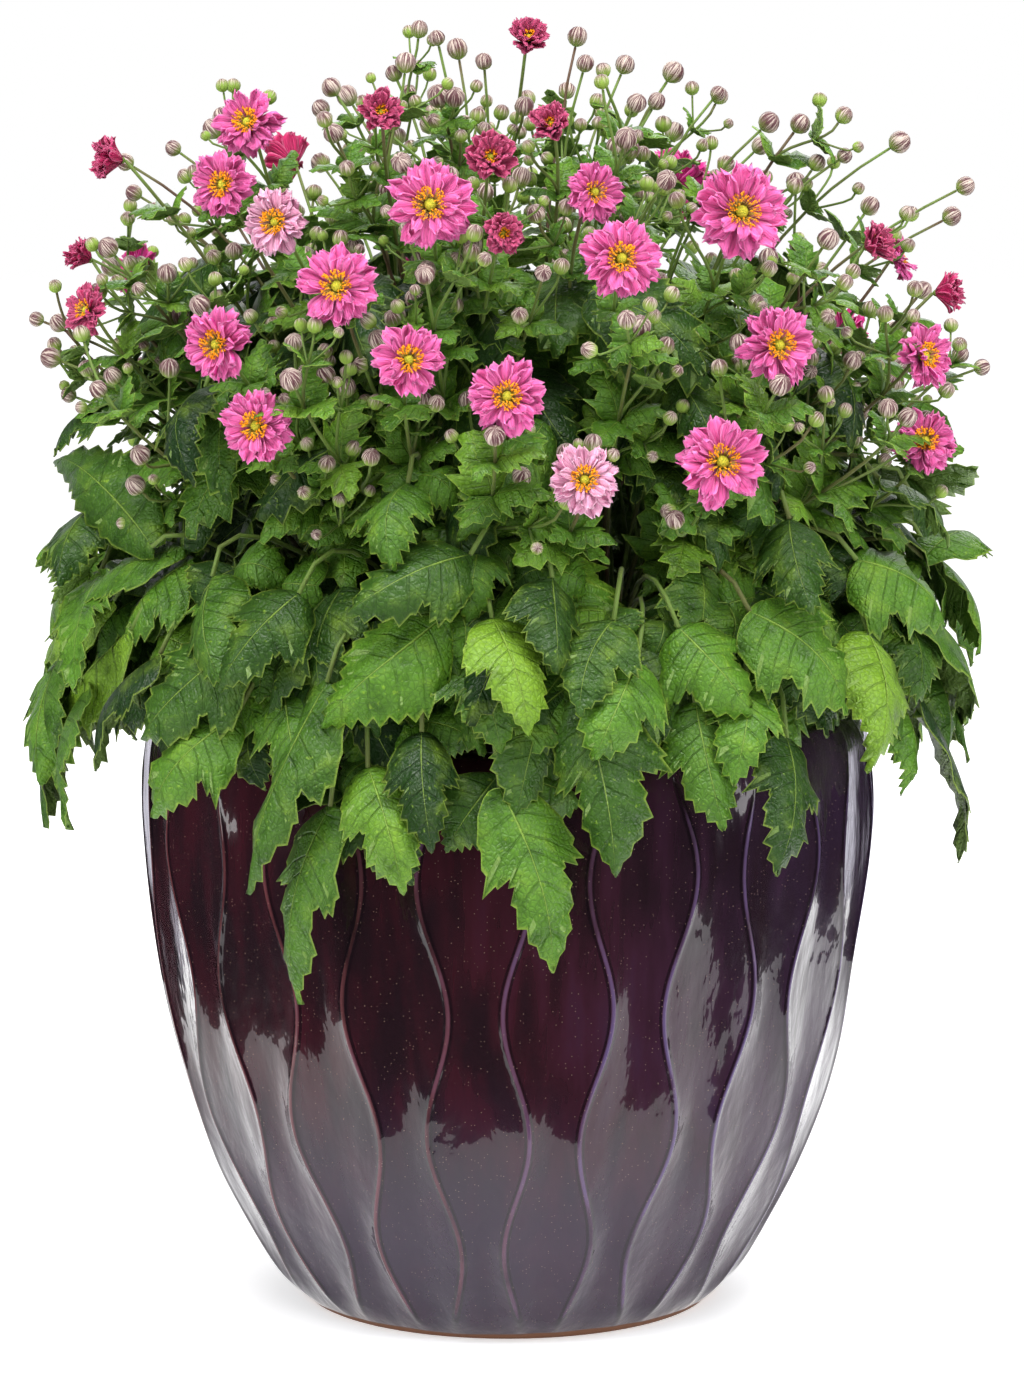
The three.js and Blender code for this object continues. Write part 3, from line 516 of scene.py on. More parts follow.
@dataclass(frozen=True)
class GlazeFinish:
    """A glossy aubergine glaze, redder and bluer in clouds, thin and light on the crests, with painted shade
    along both sides of each crest.
    """

    deep: tuple = srgb(28, 14, 20)
    wine: tuple = srgb(50, 16, 25)
    violet: tuple = srgb(43, 31, 53)
    red_crest: tuple = srgb(92, 50, 52)
    blue_crest: tuple = srgb(82, 68, 104)
    # The painted shade along the sides of the crests
    flank_shade: tuple = srgb(14, 6, 12)
    clay: tuple = srgb(118, 82, 62)
    speck: tuple = srgb(176, 152, 132)
    # How far the clouds pull down the edge of the glaze, where it ends over the clay, and how soon
    sag: float = -0.012
    bare_below: float = -0.0015
    bare_fade: float = 0.002
    # How high the swells and the ripples of the glaze stand
    swell: float = 0.0016
    ripple: float = 0.0004

    def material(self) -> Material:
        """Builds the glaze.

        Returns:
            Its material.
        """
        gloss = {"Specular IOR Level": 0.15, "Coat Roughness": 0.03, "Coat IOR": 1.37}
        paint = Paint("pot_glaze", self.deep, gloss)
        x, _, z = paint.node("SeparateXYZ", paint.spot()).outputs
        clouds = paint.noise(paint.spot(), 5.5, 3)
        runs = paint.noise(paint.stretched(1, 1, 0.14), 60, 4)
        patches = paint.plus(paint.times(clouds, 0.5), paint.times(runs, 0.5))
        paint.coat(self.wine, paint.step(patches, 0.42, 0.62))
        blue = paint.plus(paint.times(x, 1.5), patches)
        bluish = paint.step(blue, 0.5, 0.95, 0, 0.85)
        paint.coat(self.violet, paint.math("MAXIMUM", bluish, paint.step(z, 0.2, 0.06, 0, 0.7)))
        crest = paint.value("crest")
        # Painted shade: a dark band along both sides of each crest, where the ridge slopes down into the
        # flute
        flank_shade_mask = paint.times(paint.step(crest, 0.12, 0.3), paint.step(crest, 0.5, 0.75, 1, 0))
        paint.coat(self.flank_shade, flank_shade_mask, 0.7)
        ridge = paint.times(paint.step(crest, 0.6, 0.95), paint.step(runs, 0.3, 0.62, 0.15, 0.9))
        paint.coat(paint.mix(paint.step(blue, 0.3, 0.8), self.red_crest, self.blue_crest), ridge)
        dots = paint.cells(520.0)
        rare = paint.step(paint.node("SeparateXYZ", dots.outputs["Color"]).outputs[0], 0.72, 0.78)
        paint.coat(self.speck, paint.times(rare, paint.step(dots.outputs["Distance"], 0.08, 0.2, 1, 0)), 0.4)
        edge = paint.plus(z, paint.times(clouds, self.sag))
        bare = paint.step(edge, self.bare_below - self.bare_fade, self.bare_below, 1, 0)
        paint.coat(self.clay, bare)
        paint.feed(paint.shader.inputs["Coat Weight"], paint.step(bare, 0, 1, 1, 0))
        swell = paint.bump(paint.noise(paint.stretched(1, 1, 0.6), 36), self.swell)
        ripple = paint.bump(paint.noise(paint.stretched(1, 1, 0.3), 150), self.ripple, swell)
        paint.feed(paint.shader.inputs["Coat Normal"], ripple)
        return paint.finish(paint.step(bare, 0, 1, 0.2, 0.85), ripple)


@dataclass(frozen=True)
class SoilFinish:
    """Dark, crumbly potting soil."""

    dark: tuple = srgb(38, 28, 22)
    dry: tuple = srgb(92, 72, 54)
    crumb: float = 0.004

    def material(self) -> Material:
        """Builds the soil.

        Returns:
            Its material.
        """
        paint = Paint("soil", self.dark, {"Specular IOR Level": 0.2})
        crumbs = paint.noise(paint.spot(), 260, 6)
        paint.coat(self.dry, paint.step(crumbs, 0.4, 0.75))
        return paint.finish(0.95, paint.bump(crumbs, self.crumb))


@dataclass(frozen=True)
class LeafFinish:
    """A leaf's green, with veins pressed in, the midrib pale, painted shade along the side veins and the
    fine netting, flecks and a lighter margin.
    """

    shade: tuple = srgb(24, 50, 18)
    green: tuple = srgb(82, 126, 32)
    lime: tuple = srgb(148, 182, 46)
    vein: tuple = srgb(150, 180, 74)
    margin: tuple = srgb(158, 182, 66)
    under: tuple = srgb(122, 148, 78)
    # How far apart the side veins start, as a share of the blade
    vein_gap: float = 0.0729

    def material(self) -> Material:
        """Builds the leaf.

        Returns:
            Its material.
        """
        paint = Paint("leaf_green", self.shade, {"Specular IOR Level": 0.36})
        u, v = paint.uv()
        tone, off = paint.value("tone"), paint.off_middle(u)
        paint.coat(self.green, paint.step(tone, 0, 0.5))
        paint.coat(self.lime, paint.step(tone, 0.5, 1))
        clouds = paint.noise(paint.spot(), 60, 5)
        paint.coat(self.lime, paint.step(clouds, 0.5, 0.8, 0, 0.3))
        paint.coat(self.shade, paint.step(clouds, 0.5, 0.25, 0, 0.6))
        paint.coat(self.lime, paint.step(paint.noise(paint.spot(), 300), 0.64, 0.74, 0, 0.35))
        net = paint.cells(300.0, feature="DISTANCE_TO_EDGE").outputs["Distance"]
        # Painted shade: the fine netting darkened where it is pressed in
        paint.coat(self.shade, paint.step(net, 0.01, 0.12, 1, 0), 0.26)
        middle, side = self.ribs(paint, off, v)
        # Painted shade: the side veins darkened where they are pressed in
        paint.coat(self.shade, side, 0.24)
        paint.coat(self.vein, middle, 0.5)
        paint.coat(self.margin, paint.step(off, 0.46, 0.5), 0.4)
        paint.coat(self.under, paint.value("under"), 0.55)
        cushions = paint.times(paint.step(net, 0, 0.3), 0.35)
        relief = paint.math("SUBTRACT", cushions, paint.math("MAXIMUM", middle, side))
        normal = paint.bump(relief, 0.0010, paint.bump(clouds, 0.005))
        return paint.finish(paint.step(clouds, 0.3, 0.7, 0.34, 0.5), normal)

    def ribs(self, paint: Paint, off: object, v: object) -> tuple[Socket, Socket]:
        """Draws the veins.

        Args:
            paint: The leaf's paint.
            off: How far a point is from the midrib.
            v: How far it is along the blade.

        Returns:
            How much it lies on the midrib, and how much on a side vein, from 0 to 1.
        """
        middle = paint.step(off, 0.004, 0.018, 1, 0)
        drawn = paint.plus(v, paint.times(paint.noise(paint.spot(), 90), 0.03))
        wave = paint.math("PINGPONG", drawn, self.vein_gap)
        side = paint.times(paint.step(wave, 0.002, 0.012, 1, 0), paint.step(off, 0.2, 0.5, 0.9, 0.2))
        small = paint.math("PINGPONG", drawn, self.vein_gap / 3)
        return middle, paint.math("MAXIMUM", side, paint.times(paint.step(small, 0.001, 0.006, 1, 0), 0.12))


@dataclass(frozen=True)
class StemFinish:
    """A finely haired stem, green above and brown-purple in stretches."""

    green: tuple = srgb(98, 124, 50)
    brown: tuple = srgb(92, 68, 52)

    def material(self) -> Material:
        """Builds the stem.

        Returns:
            Its material.
        """
        soft = {"Specular IOR Level": 0.35, "Sheen Weight": 0.1, "Sheen Roughness": 0.35}
        paint = Paint("stem_green", self.green, soft)
        clouds = paint.noise(paint.spot(), 14, 3)
        streaks = paint.noise(paint.stretched(1, 1, 0.1), 900)
        share = paint.plus(clouds, paint.times(paint.value("tone"), 0.4))
        paint.coat(self.brown, paint.step(share, 0.5, 0.85))
        paint.coat(self.brown, paint.step(streaks, 0.5, 0.8, 0, 0.4))
        return paint.finish(0.55, paint.bump(streaks, 0.0004))


@dataclass(frozen=True)
class PetalFinish:
    """A satin petal, with streaks along it, a darker foot and a paler edge."""

    name: str
    body: tuple
    streak: tuple
    edge: tuple

    def material(self) -> Material:
        """Builds the petal.

        Returns:
            Its material.
        """
        satin = {"Specular IOR Level": 0.3, "Sheen Weight": 0.06, "Sheen Roughness": 0.3}
        paint = Paint(self.name, self.body, satin)
        u, v = paint.uv()
        seed = paint.value("seed")
        streaks = paint.noise(paint.point(paint.times(u, 14.0), v, seed), 1.3, 3)
        fine = paint.noise(paint.point(paint.times(u, 60.0), v, seed), 1.0)
        paint.coat(self.streak, paint.step(streaks, 0.42, 0.7))
        paint.coat(self.edge, paint.step(streaks, 0.45, 0.22, 0, 0.6))
        paint.coat(self.streak, paint.step(fine, 0.5, 0.75, 0, 0.45))
        rim = paint.math("MAXIMUM", paint.step(paint.off_middle(u), 0.38, 0.5), paint.step(v, 0.88, 1.0))
        paint.coat(self.edge, rim, 0.55)
        paint.coat(self.streak, paint.step(v, 0.3, 0.0, 0, 0.5))
        paint.coat(self.edge, paint.value("under"), 0.35)
        return paint.finish(0.5, paint.bump(streaks, 0.0014, paint.bump(fine, 0.0004)))


@dataclass(frozen=True)
class CentreFinish:
    """Stamens with orange-yellow pollen, or the yellow-green boss inside them."""

    name: str
    low: tuple
    high: tuple
    scale: float
    depth: float

    def material(self) -> Material:
        """Builds the stamens or the boss.

        Returns:
            Its material.
        """
        paint = Paint(self.name, self.low, {"Specular IOR Level": 0.25})
        grains = paint.cells(self.scale).outputs["Distance"]
        share = paint.plus(paint.value("tone"), paint.step(grains, 0.1, 0.6, -0.25, 0.25))
        paint.coat(self.high, paint.step(share, 0.1, 0.9))
        return paint.finish(0.65, paint.bump(grains, -self.depth))


@dataclass(frozen=True)
class BudFinish:
    """A silky bud: silver and mauve stripes from the top down, green at its foot."""

    green: tuple = srgb(134, 164, 64)
    silver: tuple = srgb(196, 180, 168)
    mauve: tuple = srgb(92, 56, 62)
    # How fast the stripes change round the bud, and along it
    round_bud: float = 2.6
    along_bud: float = 0.7

    def material(self) -> Material:
        """Builds the bud.

        Returns:
            Its material.
        """
        silky = {"Specular IOR Level": 0.25, "Sheen Weight": 0.06, "Sheen Roughness": 0.35}
        paint = Paint("bud_silver", self.mauve, silky)
        u, v = paint.uv()
        turn = paint.times(u, 2 * math.pi)
        x, y = (paint.times(paint.math(wave, turn), self.round_bud) for wave in ("COSINE", "SINE"))
        place = paint.point(x, y, paint.plus(paint.times(v, self.along_bud), paint.value("seed")))
        stripes = paint.noise(place, 2.6, 4)
        paint.coat(self.silver, paint.step(stripes, 0.44, 0.62))
        ripe = paint.plus(paint.value("tone"), paint.times(stripes, 0.5))
        height = paint.math("SUBTRACT", paint.plus(v, ripe), 0.75)
        paint.coat(self.green, paint.step(height, 0.05, 0.5, 1, 0))
        seams = paint.math("ABSOLUTE", paint.math("SINE", paint.times(turn, 2.5)))
        paint.coat(self.mauve, paint.step(seams, 0.0, 0.3, 0.35, 0))
        return paint.finish(0.5, paint.bump(stripes, 0.0006))


@dataclass(frozen=True)
class FloorFinish:
    """A plain pale floor."""

    pale: tuple = srgb(246, 246, 247)
    grey: tuple = srgb(242, 242, 244)
    # Light of its own, which lets the floor end in the white behind it
    glow: float = 0.42

    def material(self) -> Material:
        """Builds the floor.

        Returns:
            Its material.
        """
        paint = Paint("floor_pale", self.pale, {"Specular IOR Level": 0.0, "Emission Strength": self.glow})
        paint.coat(self.grey, paint.step(paint.noise(paint.spot(), 3), 0.3, 0.7))
        return paint.finish(0.9)


class Tint(Enum):
    """The three colours of blooms, as the record's slots name them."""

    PINK = "petal_pink"
    DEEP = "petal_deep"
    PALE = "petal_pale"


# The body, the streaks and the edge of a petal of each colour
PETAL_COLOURS = {
    Tint.PINK: (srgb(238, 50, 158), srgb(190, 12, 106), srgb(252, 156, 210)),
    Tint.DEEP: (srgb(204, 30, 100), srgb(140, 8, 62), srgb(226, 120, 160)),
    Tint.PALE: (srgb(238, 150, 196), srgb(214, 74, 144), srgb(250, 214, 228)),
}
STAMEN_FINISH = CentreFinish("stamen_yellow", srgb(206, 190, 84), srgb(246, 158, 12), 900.0, 0.0004)
BOSS_FINISH = CentreFinish("boss_green", srgb(132, 152, 34), srgb(218, 208, 62), 1500.0, 0.0006)


@dataclass
class Finishes:
    """Every material of the plants, built once."""

    leaf: Material = field(default_factory=LeafFinish().material)
    stem: Material = field(default_factory=StemFinish().material)
    bud: Material = field(default_factory=BudFinish().material)
    stamen: Material = field(default_factory=STAMEN_FINISH.material)
    boss: Material = field(default_factory=BOSS_FINISH.material)
    petal: dict[Tint, Material] = field(default_factory=lambda: {
        tint: PetalFinish(tint.value, *colours).material() for tint, colours in PETAL_COLOURS.items()})


@dataclass
class Planter:
    """The glazed planter: waved ribs with shallow flutes between them, a round lip and drain holes."""

    profile: tuple = ((0.129, 0), (0.149, 0.019), (0.170, 0.055), (0.189, 0.094), (0.207, 0.146),
                      (0.220, 0.211), (0.2305, 0.301), (0.227, 0.355), (0.217, 0.378))
    trace_steps: int = 400
    wall: float = 0.015
    floor: float = 0.018
    lip: float = 0.004
    lip_rows: int = 9
    ribs: int = 28
    first_azimuth: float = 1.5
    swing: float = 2.2
    half_wave: float = 0.082
    phase_at: float = 0.162
    flute_depth: float = 0.0058
    # How deep a flute lies on average, and how much deeper in its middle, as shares of its depth
    flute_level: float = 0.62
    flute_bowl: float = 0.36
    # Where the flutes fade out, as shares of the wall's length
    foot_fade: float = 0.1
    rim_fade: float = 0.86
    crest_width: float = 0.0023
    # Where the wall's columns stand between one crest and the next, closer together at the crests
    columns: tuple = (0, 0.018, 0.038, 0.062, 0.1, 0.17, 0.3, 0.5, 0.7, 0.83, 0.9, 0.938, 0.962, 0.982)
    rows: int = 98
    # Where the inner wall has its rings, as shares of the outer wall's length, and its round at the floor
    inner_shares: tuple = (0.86, 0.72, 0.5, 0.3, 0.14)
    inner_round: float = 0.006
    drain_radius: float = 0.007
    drain_circle: float = 0.062
    drain_azimuths: tuple = (60.0, 180.0, 300.0)
    drain_step: int = 24
    outline: Points = field(init=False)
    length: float = field(init=False)

    def __post_init__(self) -> None:
        """Traces the wall's outline at equal steps of its length, as rows of radius and height."""
        knots = np.array(self.profile)
        t = np.linspace(0, len(knots) - 1, self.trace_steps)
        low = np.clip(t.astype(int), 0, len(knots) - 2)
        part = (t - low)[:, None]
        before, here = knots[np.maximum(low - 1, 0)], knots[low]
        there, after = knots[low + 1], knots[np.minimum(low + 2, len(knots) - 1)]
        leave, arrive = 0.5 * (there - before), 0.5 * (after - here)
        curve = ((2 * part**3 - 3 * part**2 + 1) * here + (part**3 - 2 * part**2 + part) * leave
                 + (3 * part**2 - 2 * part**3) * there + (part**3 - part**2) * arrive)
        walked = np.concatenate([[0], np.cumsum(np.linalg.norm(np.diff(curve, axis=0), axis=1))])
        self.length = float(walked[-1])
        even = np.linspace(0, walked[-1], self.rows + 1)
        self.outline = np.stack([np.interp(even, walked, curve[:, k]) for k in range(2)], -1)

    def crest_azimuth(self, rib: Points, share: float) -> Points:
        """The azimuths of crests at a share of the way up the wall."""
        wave = math.cos(math.pi * (share * self.length - self.phase_at) / self.half_wave)
        return self.first_azimuth + 360 / self.ribs * rib + np.where(rib % 2 == 0, 1, -1) * self.swing * wave

    def fade(self, share: float) -> float:
        """How much of the flutes' depth is left at a share of the way up the wall."""
        foot = np.clip(share / self.foot_fade, 0, 1)
        rim = np.clip((share - self.rim_fade) / (1 - self.rim_fade), 0, 1)
        return float(foot**2 * (3 - 2 * foot) * (1 - rim**2 * (3 - 2 * rim)))

    def wall_rings(self) -> tuple[Points, Points]:
        """The outer wall.

        Returns:
            Its rings from foot to rim, and how near each point is to a crest, from 0 to 1.
        """
        rings, crests = [], []
        rib = np.repeat(np.arange(self.ribs), len(self.columns))
        part = np.tile(self.columns, self.ribs)
        bowl = self.flute_bowl * np.cos(2 * math.pi * part)
        for row, (radius, z) in enumerate(self.outline):
            share = row / self.rows
            fade = self.fade(share)
            here, there = self.crest_azimuth(rib, share), self.crest_azimuth(rib + 1, share)
            near = np.minimum(part, 1 - part) * np.radians(there - here) * radius
            crest = np.exp(-(near / self.crest_width) ** 2)
            sunk = self.flute_depth * fade * (1 - crest) * (self.flute_level - bowl)
            rings.append(level_ring(radius - sunk, np.radians(here + (there - here) * part), z))
            crests.append(crest * fade)
        return np.array(rings), np.array(crests)

    def lip_and_inside(self, rim: Points) -> Points:
        """The rings that go on from the rim.

        Args:
            rim: The outer wall's last ring.

        Returns:
            Rings over the round lip and down the inner wall to the floor.
        """
        turn = np.arctan2(rim[:, 0], -rim[:, 1])
        radius = float(np.linalg.norm(rim[0, :2]))
        half = self.wall / 2
        rings = []
        for row in range(1, self.lip_rows + 1):
            angle = math.pi * row / self.lip_rows
            rings.append((radius - half + half * math.cos(angle),
                          POT_HEIGHT - self.lip + self.lip * math.sin(angle)))
        for share in self.inner_shares:
            r, z = self.outline[int(share * self.rows)]
            rings.append((r - self.flute_depth - self.wall, max(z, self.floor)))
        rings.append((rings[-1][0] - self.inner_round, self.floor))
        return np.array([level_ring(r, turn, z) for r, z in rings])

    def build(self, glaze: Material) -> None:
        """Makes the planter's mesh and dresses it.

        Args:
            glaze: Its material.
        """
        wall, crest = self.wall_rings()
        inside = self.lip_and_inside(wall[-1])
        rings = np.concatenate([wall, inside])
        crests = np.concatenate([crest, np.zeros(inside.shape[:2])])
        quads = ring_faces(*rings.shape[:2])[2]
        draft = Draft()
        draft.add(Form(rings.reshape(-1, 3), [quads], [np.zeros((len(quads), 4, 2))]), crest=crests.ravel())
        piece = draft.build("planter", glaze)
        self.add_floor(piece)
        settle(piece, "pot_glaze", "pot")

    def add_floor(self, piece: Piece) -> None:
        """Closes the planter with a floor that has drain holes.

        Args:
            piece: The planter, still open below.
        """
        mesh = bmesh.new()
        mesh.from_mesh(piece.data)
        open_edges = [edge for edge in mesh.edges if edge.is_boundary]
        for level in (0.0, self.floor):
            ring = [edge for edge in open_edges if abs(edge.verts[0].co.z - level) < 1e-4]
            holes = [edge for azimuth in self.drain_azimuths for edge in self.hole(mesh, azimuth, level)]
            bmesh.ops.triangle_fill(mesh, use_beauty=True, edges=ring + holes)
        bmesh.ops.bridge_loops(mesh, edges=[edge for edge in mesh.edges if edge.is_boundary])
        bmesh.ops.recalc_face_normals(mesh, faces=mesh.faces[:])
        for face in mesh.faces:
            face.smooth = True
        mesh.to_mesh(piece.data)
        mesh.free()

    def hole(self, mesh: bmesh.types.BMesh, azimuth: float, level: float) -> list[bmesh.types.BMEdge]:
        """Adds the edge of one drain hole at a level.

        Args:
            mesh: The planter's mesh.
            azimuth: The hole's azimuth.
            level: The height of the edge.

        Returns:
            The stretches of the edge.
        """
        middle = polar(azimuth, self.drain_circle, level)
        turns = range(0, 360, self.drain_step)
        corners = [mesh.verts.new(middle + polar(turn, self.drain_radius, 0)) for turn in turns]
        return [mesh.edges.new((corner, corners[k - 1])) for k, corner in enumerate(corners)]


@dataclass
class Soil:
    """The soil in the planter, with a crumbly surface."""

    top: float = SOIL_TOP
    crown: float = 0.006
    radius: float = 0.206
    # Radius and height of its two rings below the surface
    body: tuple = ((0.128, 0.0186), (0.186, 0.20))
    rings: int = 26
    sides: int = 100
    lump: float = 0.002

    def build(self, finish: Material) -> None:
        """Makes the soil's mesh and dresses it.

        Args:
            finish: Its material.
        """
        rings = [self.ring(radius, z, 0) for radius, z in self.body]
        for k in range(self.rings):
            share = 1 - k / self.rings
            rings.append(self.ring(self.radius * share, self.top + self.crown * (1 - share**2), self.lump))
        low, high = np.array([0, 0, self.body[0][1]]), np.array([0, 0, self.top + self.crown])
        draft = Draft()
        draft.add(hoops(np.array(rings), low, high))
        settle(draft.build("soil_fill", finish), "soil", "soil")

    def ring(self, radius: float, z: float, lump: float) -> Points:
        """One ring of points, with crumbs as high as a lump."""
        rises = [lump * jitter(k + 0.5, radius * 3000) for k in range(self.sides)]
        return np.array([polar(360 * k / self.sides, radius, z + rise) for k, rise in enumerate(rises)])


@dataclass(frozen=True)
class LeafForm:
    """The outline of one half of a leaf, its side veins and its teeth."""

    # From foot to tip: where a side vein leaves the midrib, and how far along and out it ends
    outline: tuple
    tooth: float = 0.08
    teeth_from: float = 0.2
    rows: int = 26
    side_columns: int = 2
    bow: float = 1.25

    def grid(self, width: float, length: float, seed: float) -> tuple[Points, Points, Points]:
        """The flat leaf.

        Args:
            width: The leaf's greatest width.
            length: Its length from foot to tip.
            seed: Makes its teeth and sides its own.

        Returns:
            Three arrays of rows and columns: x across, y along, and the share of the half width.
        """
        knots = np.array(self.outline)
        t = np.linspace(0, 1, self.rows + 1)
        start, ahead, out = (np.interp(t, np.linspace(0, 1, len(knots)), knots[:, k]) for k in range(3))
        share = np.linspace(0, 1, self.side_columns + 1)[1:]
        pointed = np.arange(len(t)) % 2
        halves = []
        for sign in (-1, 1):
            reach = out * width * (1 + 0.16 * jitter(seed, 3 + sign))
            x = reach[:, None] * share
            y = start[:, None] * length + (ahead * length - start * length)[:, None] * share**self.bow
            bite = self.bites(t, out, width, seed + 40 * sign)
            x[:, -1] += bite * np.where(pointed, 0.62, -0.38)
            y[:, -1] += np.abs(bite) * np.where(pointed, 0.85, -0.15)
            halves.append((sign * x, y))
        (left_x, left_y), (right_x, right_y) = halves
        middle = (start * length)[:, None]
        x = np.concatenate([left_x[:, ::-1], 0 * middle, right_x], 1)
        y = np.concatenate([left_y[:, ::-1], middle, right_y], 1)
        return x, y, np.tile(np.concatenate([share[::-1], [0], share]), (len(t), 1))

    def bites(self, t: Points, out: Points, width: float, seed: float) -> Points:
        """How deep the margin is cut.

        Args:
            t: Each row's place from foot to tip.
            out: How far out the margin is there, as a share of the width.
            width: The leaf's greatest width.
            seed: Makes the teeth uneven.

        Returns:
            The depth at each row, which is nothing at the foot and at the tip.
        """
        uneven = np.array([1 + 0.55 * jitter(seed + k, 7) for k in range(len(t))])
        ramp = np.clip((t - self.teeth_from) * 6, 0, 1) * np.clip((1 - t) * 12, 0, 1)
        return self.tooth * width * uneven * ramp * (0.35 + 1.3 * out)


LOBED_OUTLINE = (
    (0, 0, 0.015), (0.015, -0.01, 0.09), (0.04, 0.03, 0.21), (0.08, 0.1, 0.32), (0.12, 0.2, 0.4),
    (0.17, 0.3, 0.46), (0.22, 0.4, 0.5), (0.265, 0.48, 0.5), (0.3, 0.47, 0.39), (0.34, 0.46, 0.27),
    (0.4, 0.52, 0.285), (0.48, 0.61, 0.31), (0.58, 0.71, 0.285), (0.69, 0.8, 0.215), (0.8, 0.88, 0.13),
    (0.9, 0.945, 0.055), (1, 1, 0.003),
)
OVATE_OUTLINE = (
    (0, 0, 0.015), (0.02, -0.005, 0.11), (0.05, 0.06, 0.25), (0.1, 0.16, 0.37), (0.16, 0.27, 0.45),
    (0.23, 0.38, 0.48), (0.31, 0.48, 0.44), (0.38, 0.55, 0.36), (0.46, 0.62, 0.31), (0.56, 0.7, 0.245),
    (0.67, 0.785, 0.17), (0.78, 0.865, 0.105), (0.89, 0.935, 0.05), (1, 1, 0.003),
)
NARROW_OUTLINE = (
    (0, 0, 0.015), (0.03, 0.03, 0.1), (0.07, 0.11, 0.22), (0.13, 0.22, 0.33), (0.2, 0.34, 0.4),
    (0.29, 0.46, 0.41), (0.39, 0.57, 0.36), (0.5, 0.67, 0.28), (0.62, 0.76, 0.2), (0.75, 0.85, 0.12),
    (0.88, 0.93, 0.055), (1, 1, 0.003),
)
LOBED, OVATE, NARROW = (LeafForm(outline) for outline in (LOBED_OUTLINE, OVATE_OUTLINE, NARROW_OUTLINE))
OUTER_FORMS = (LOBED, OVATE, LOBED, NARROW, LOBED)
INNER = LeafForm(LOBED_OUTLINE, tooth=0.12, rows=20)
BRACT = LeafForm(LOBED_OUTLINE, tooth=0.14, rows=10, side_columns=1)
STEM_LEAF = LeafForm(LOBED_OUTLINE, tooth=0.12, rows=12, side_columns=1)


@dataclass
class Leaf:
    """One leaf in space, from its foot to its tip."""

    foot: Points
    tip: Points
    width: float
    up: Points
    form: LeafForm
    arch: float
    fold: float
    seed: float
    tone: float
    thickness: float = 0.0006

    def add_to(self, draft: Draft) -> None:
        """Adds the leaf's blade to a draft.

        Args:
            draft: Where it goes.
        """
        length = distance(self.foot, self.tip)
        along = (self.tip - self.foot) / length
        across = unit(np.cross(along, self.up))
        out = np.cross(across, along)
        x, y, share = self.form.grid(self.width, length, self.seed)
        t = y / length
        ruffle = 0.035 * self.width * share**2 * np.sin(
            t * 19 + 6 * chance(self.seed, 11) + np.sign(x) * 2.1 * chance(self.seed, 12))
        curl = 0.06 * self.width * jitter(self.seed, 13) * share**3
        droop = 0.6 * length * chance(self.seed, 14) * np.clip(t - 0.5, 0, 1) ** 2
        twist = 0.35 * jitter(self.seed, 15) * t
        bend = 0.07 * length * jitter(self.seed, 16) * t * (1 - t) * 4
        lift = 4 * self.arch * t * (1 - t) - self.fold * np.abs(x) / self.width + ruffle + curl - droop
        lift = lift + x * np.sin(twist)
        grid = (self.foot + (x * np.cos(twist) + bend)[..., None] * across
                + y[..., None] * along + lift[..., None] * out)
        reach = np.hypot(grid[..., 0] / LEAF_LIMIT[0], grid[..., 1] / LEAF_LIMIT[1])[..., None]
        grid[..., :2] /= np.maximum(reach, 1.0)
        form = sheet(grid, self.thickness)
        draft.add(form, tone=self.tone, under=form.undersides())


# Azimuth and height of a leaf's foot, the same of its tip, and its width, in degrees and millimetres
BASAL_LEAVES = (
    (-58, 491, -85, 527, 50), (-66, 455, -86, 408, 36), (-60, 440, -84, 354, 48), (-53, 429, -59, 372, 46),
    (-38, 444, -48, 394, 54), (-38, 398, -46, 348, 50), (-44, 479, -37, 432, 44), (-29, 474, -35, 428, 46),
    (-24, 424, -32, 320, 54), (-23, 352, -28, 250, 48), (-18, 376, -13, 318, 42), (-8, 466, -21, 416, 56),
    (-5, 500, -17, 474, 44), (-11, 398, -9, 342, 40), (-2, 464, 2, 410, 46), (-1, 366, 5, 276, 50),
    (9, 418, 12, 332, 50), (6, 487, 6, 445, 42), (14, 462, 9, 420, 40), (17, 438, 11, 394, 48),
    (23, 456, 29, 416, 48), (25, 412, 26, 352, 42), (33, 417, 28, 376, 40), (39, 386, 34, 322, 50),
    (34, 462, 43, 412, 58), (56, 442, 50, 378, 52), (56, 484, 64, 450, 48), (69, 450, 84, 384, 50),
    (70, 394, 82, 302, 50), (78, 474, 87, 474, 44), (66, 528, 69, 496, 40), (43, 513, 39, 470, 38),
    (-14, 540, -14, 504, 40), (-84, 566, -86, 540, 34), (-51, 588, -45, 546, 40), (94, 424, 102, 352, 54),
    (108, 462, 116, 408, 52), (98, 506, 106, 470, 50), (-80, 430, -74, 366, 50), (-72, 400, -66, 330, 50),
    (-92, 470, -98, 420, 50),
)
# How far out the leaves' tips stand at each height, and how much further at the flanks
SKIRT = ((0.2, 0.25), (0.25, 0.264), (0.3, 0.284), (0.35, 0.292), (0.45, 0.284), (0.56, 0.262),
         (0.62, 0.252))
FLANK_REACH = 0.045


def skirt_radius(azimuth: float, z: float) -> float:
    """How far out the leaves' tips stand at an azimuth and a height."""
    radius = float(np.interp(z, *zip(*SKIRT)))
    return radius * (1 + FLANK_REACH * math.sin(math.radians(azimuth)) ** 8)


class Opening(Enum):
    """How far a bloom has opened."""

    OPEN = "open"
    CUPPED = "cupped"


OPEN, CUPPED = Opening.OPEN, Opening.CUPPED


@dataclass(frozen=True)
class PetalRing:
    """A ring of petals, in shares of the bloom's radius."""

    count: int
    reach: float
    rise: float
    width: float
    foot: float
    curl: float


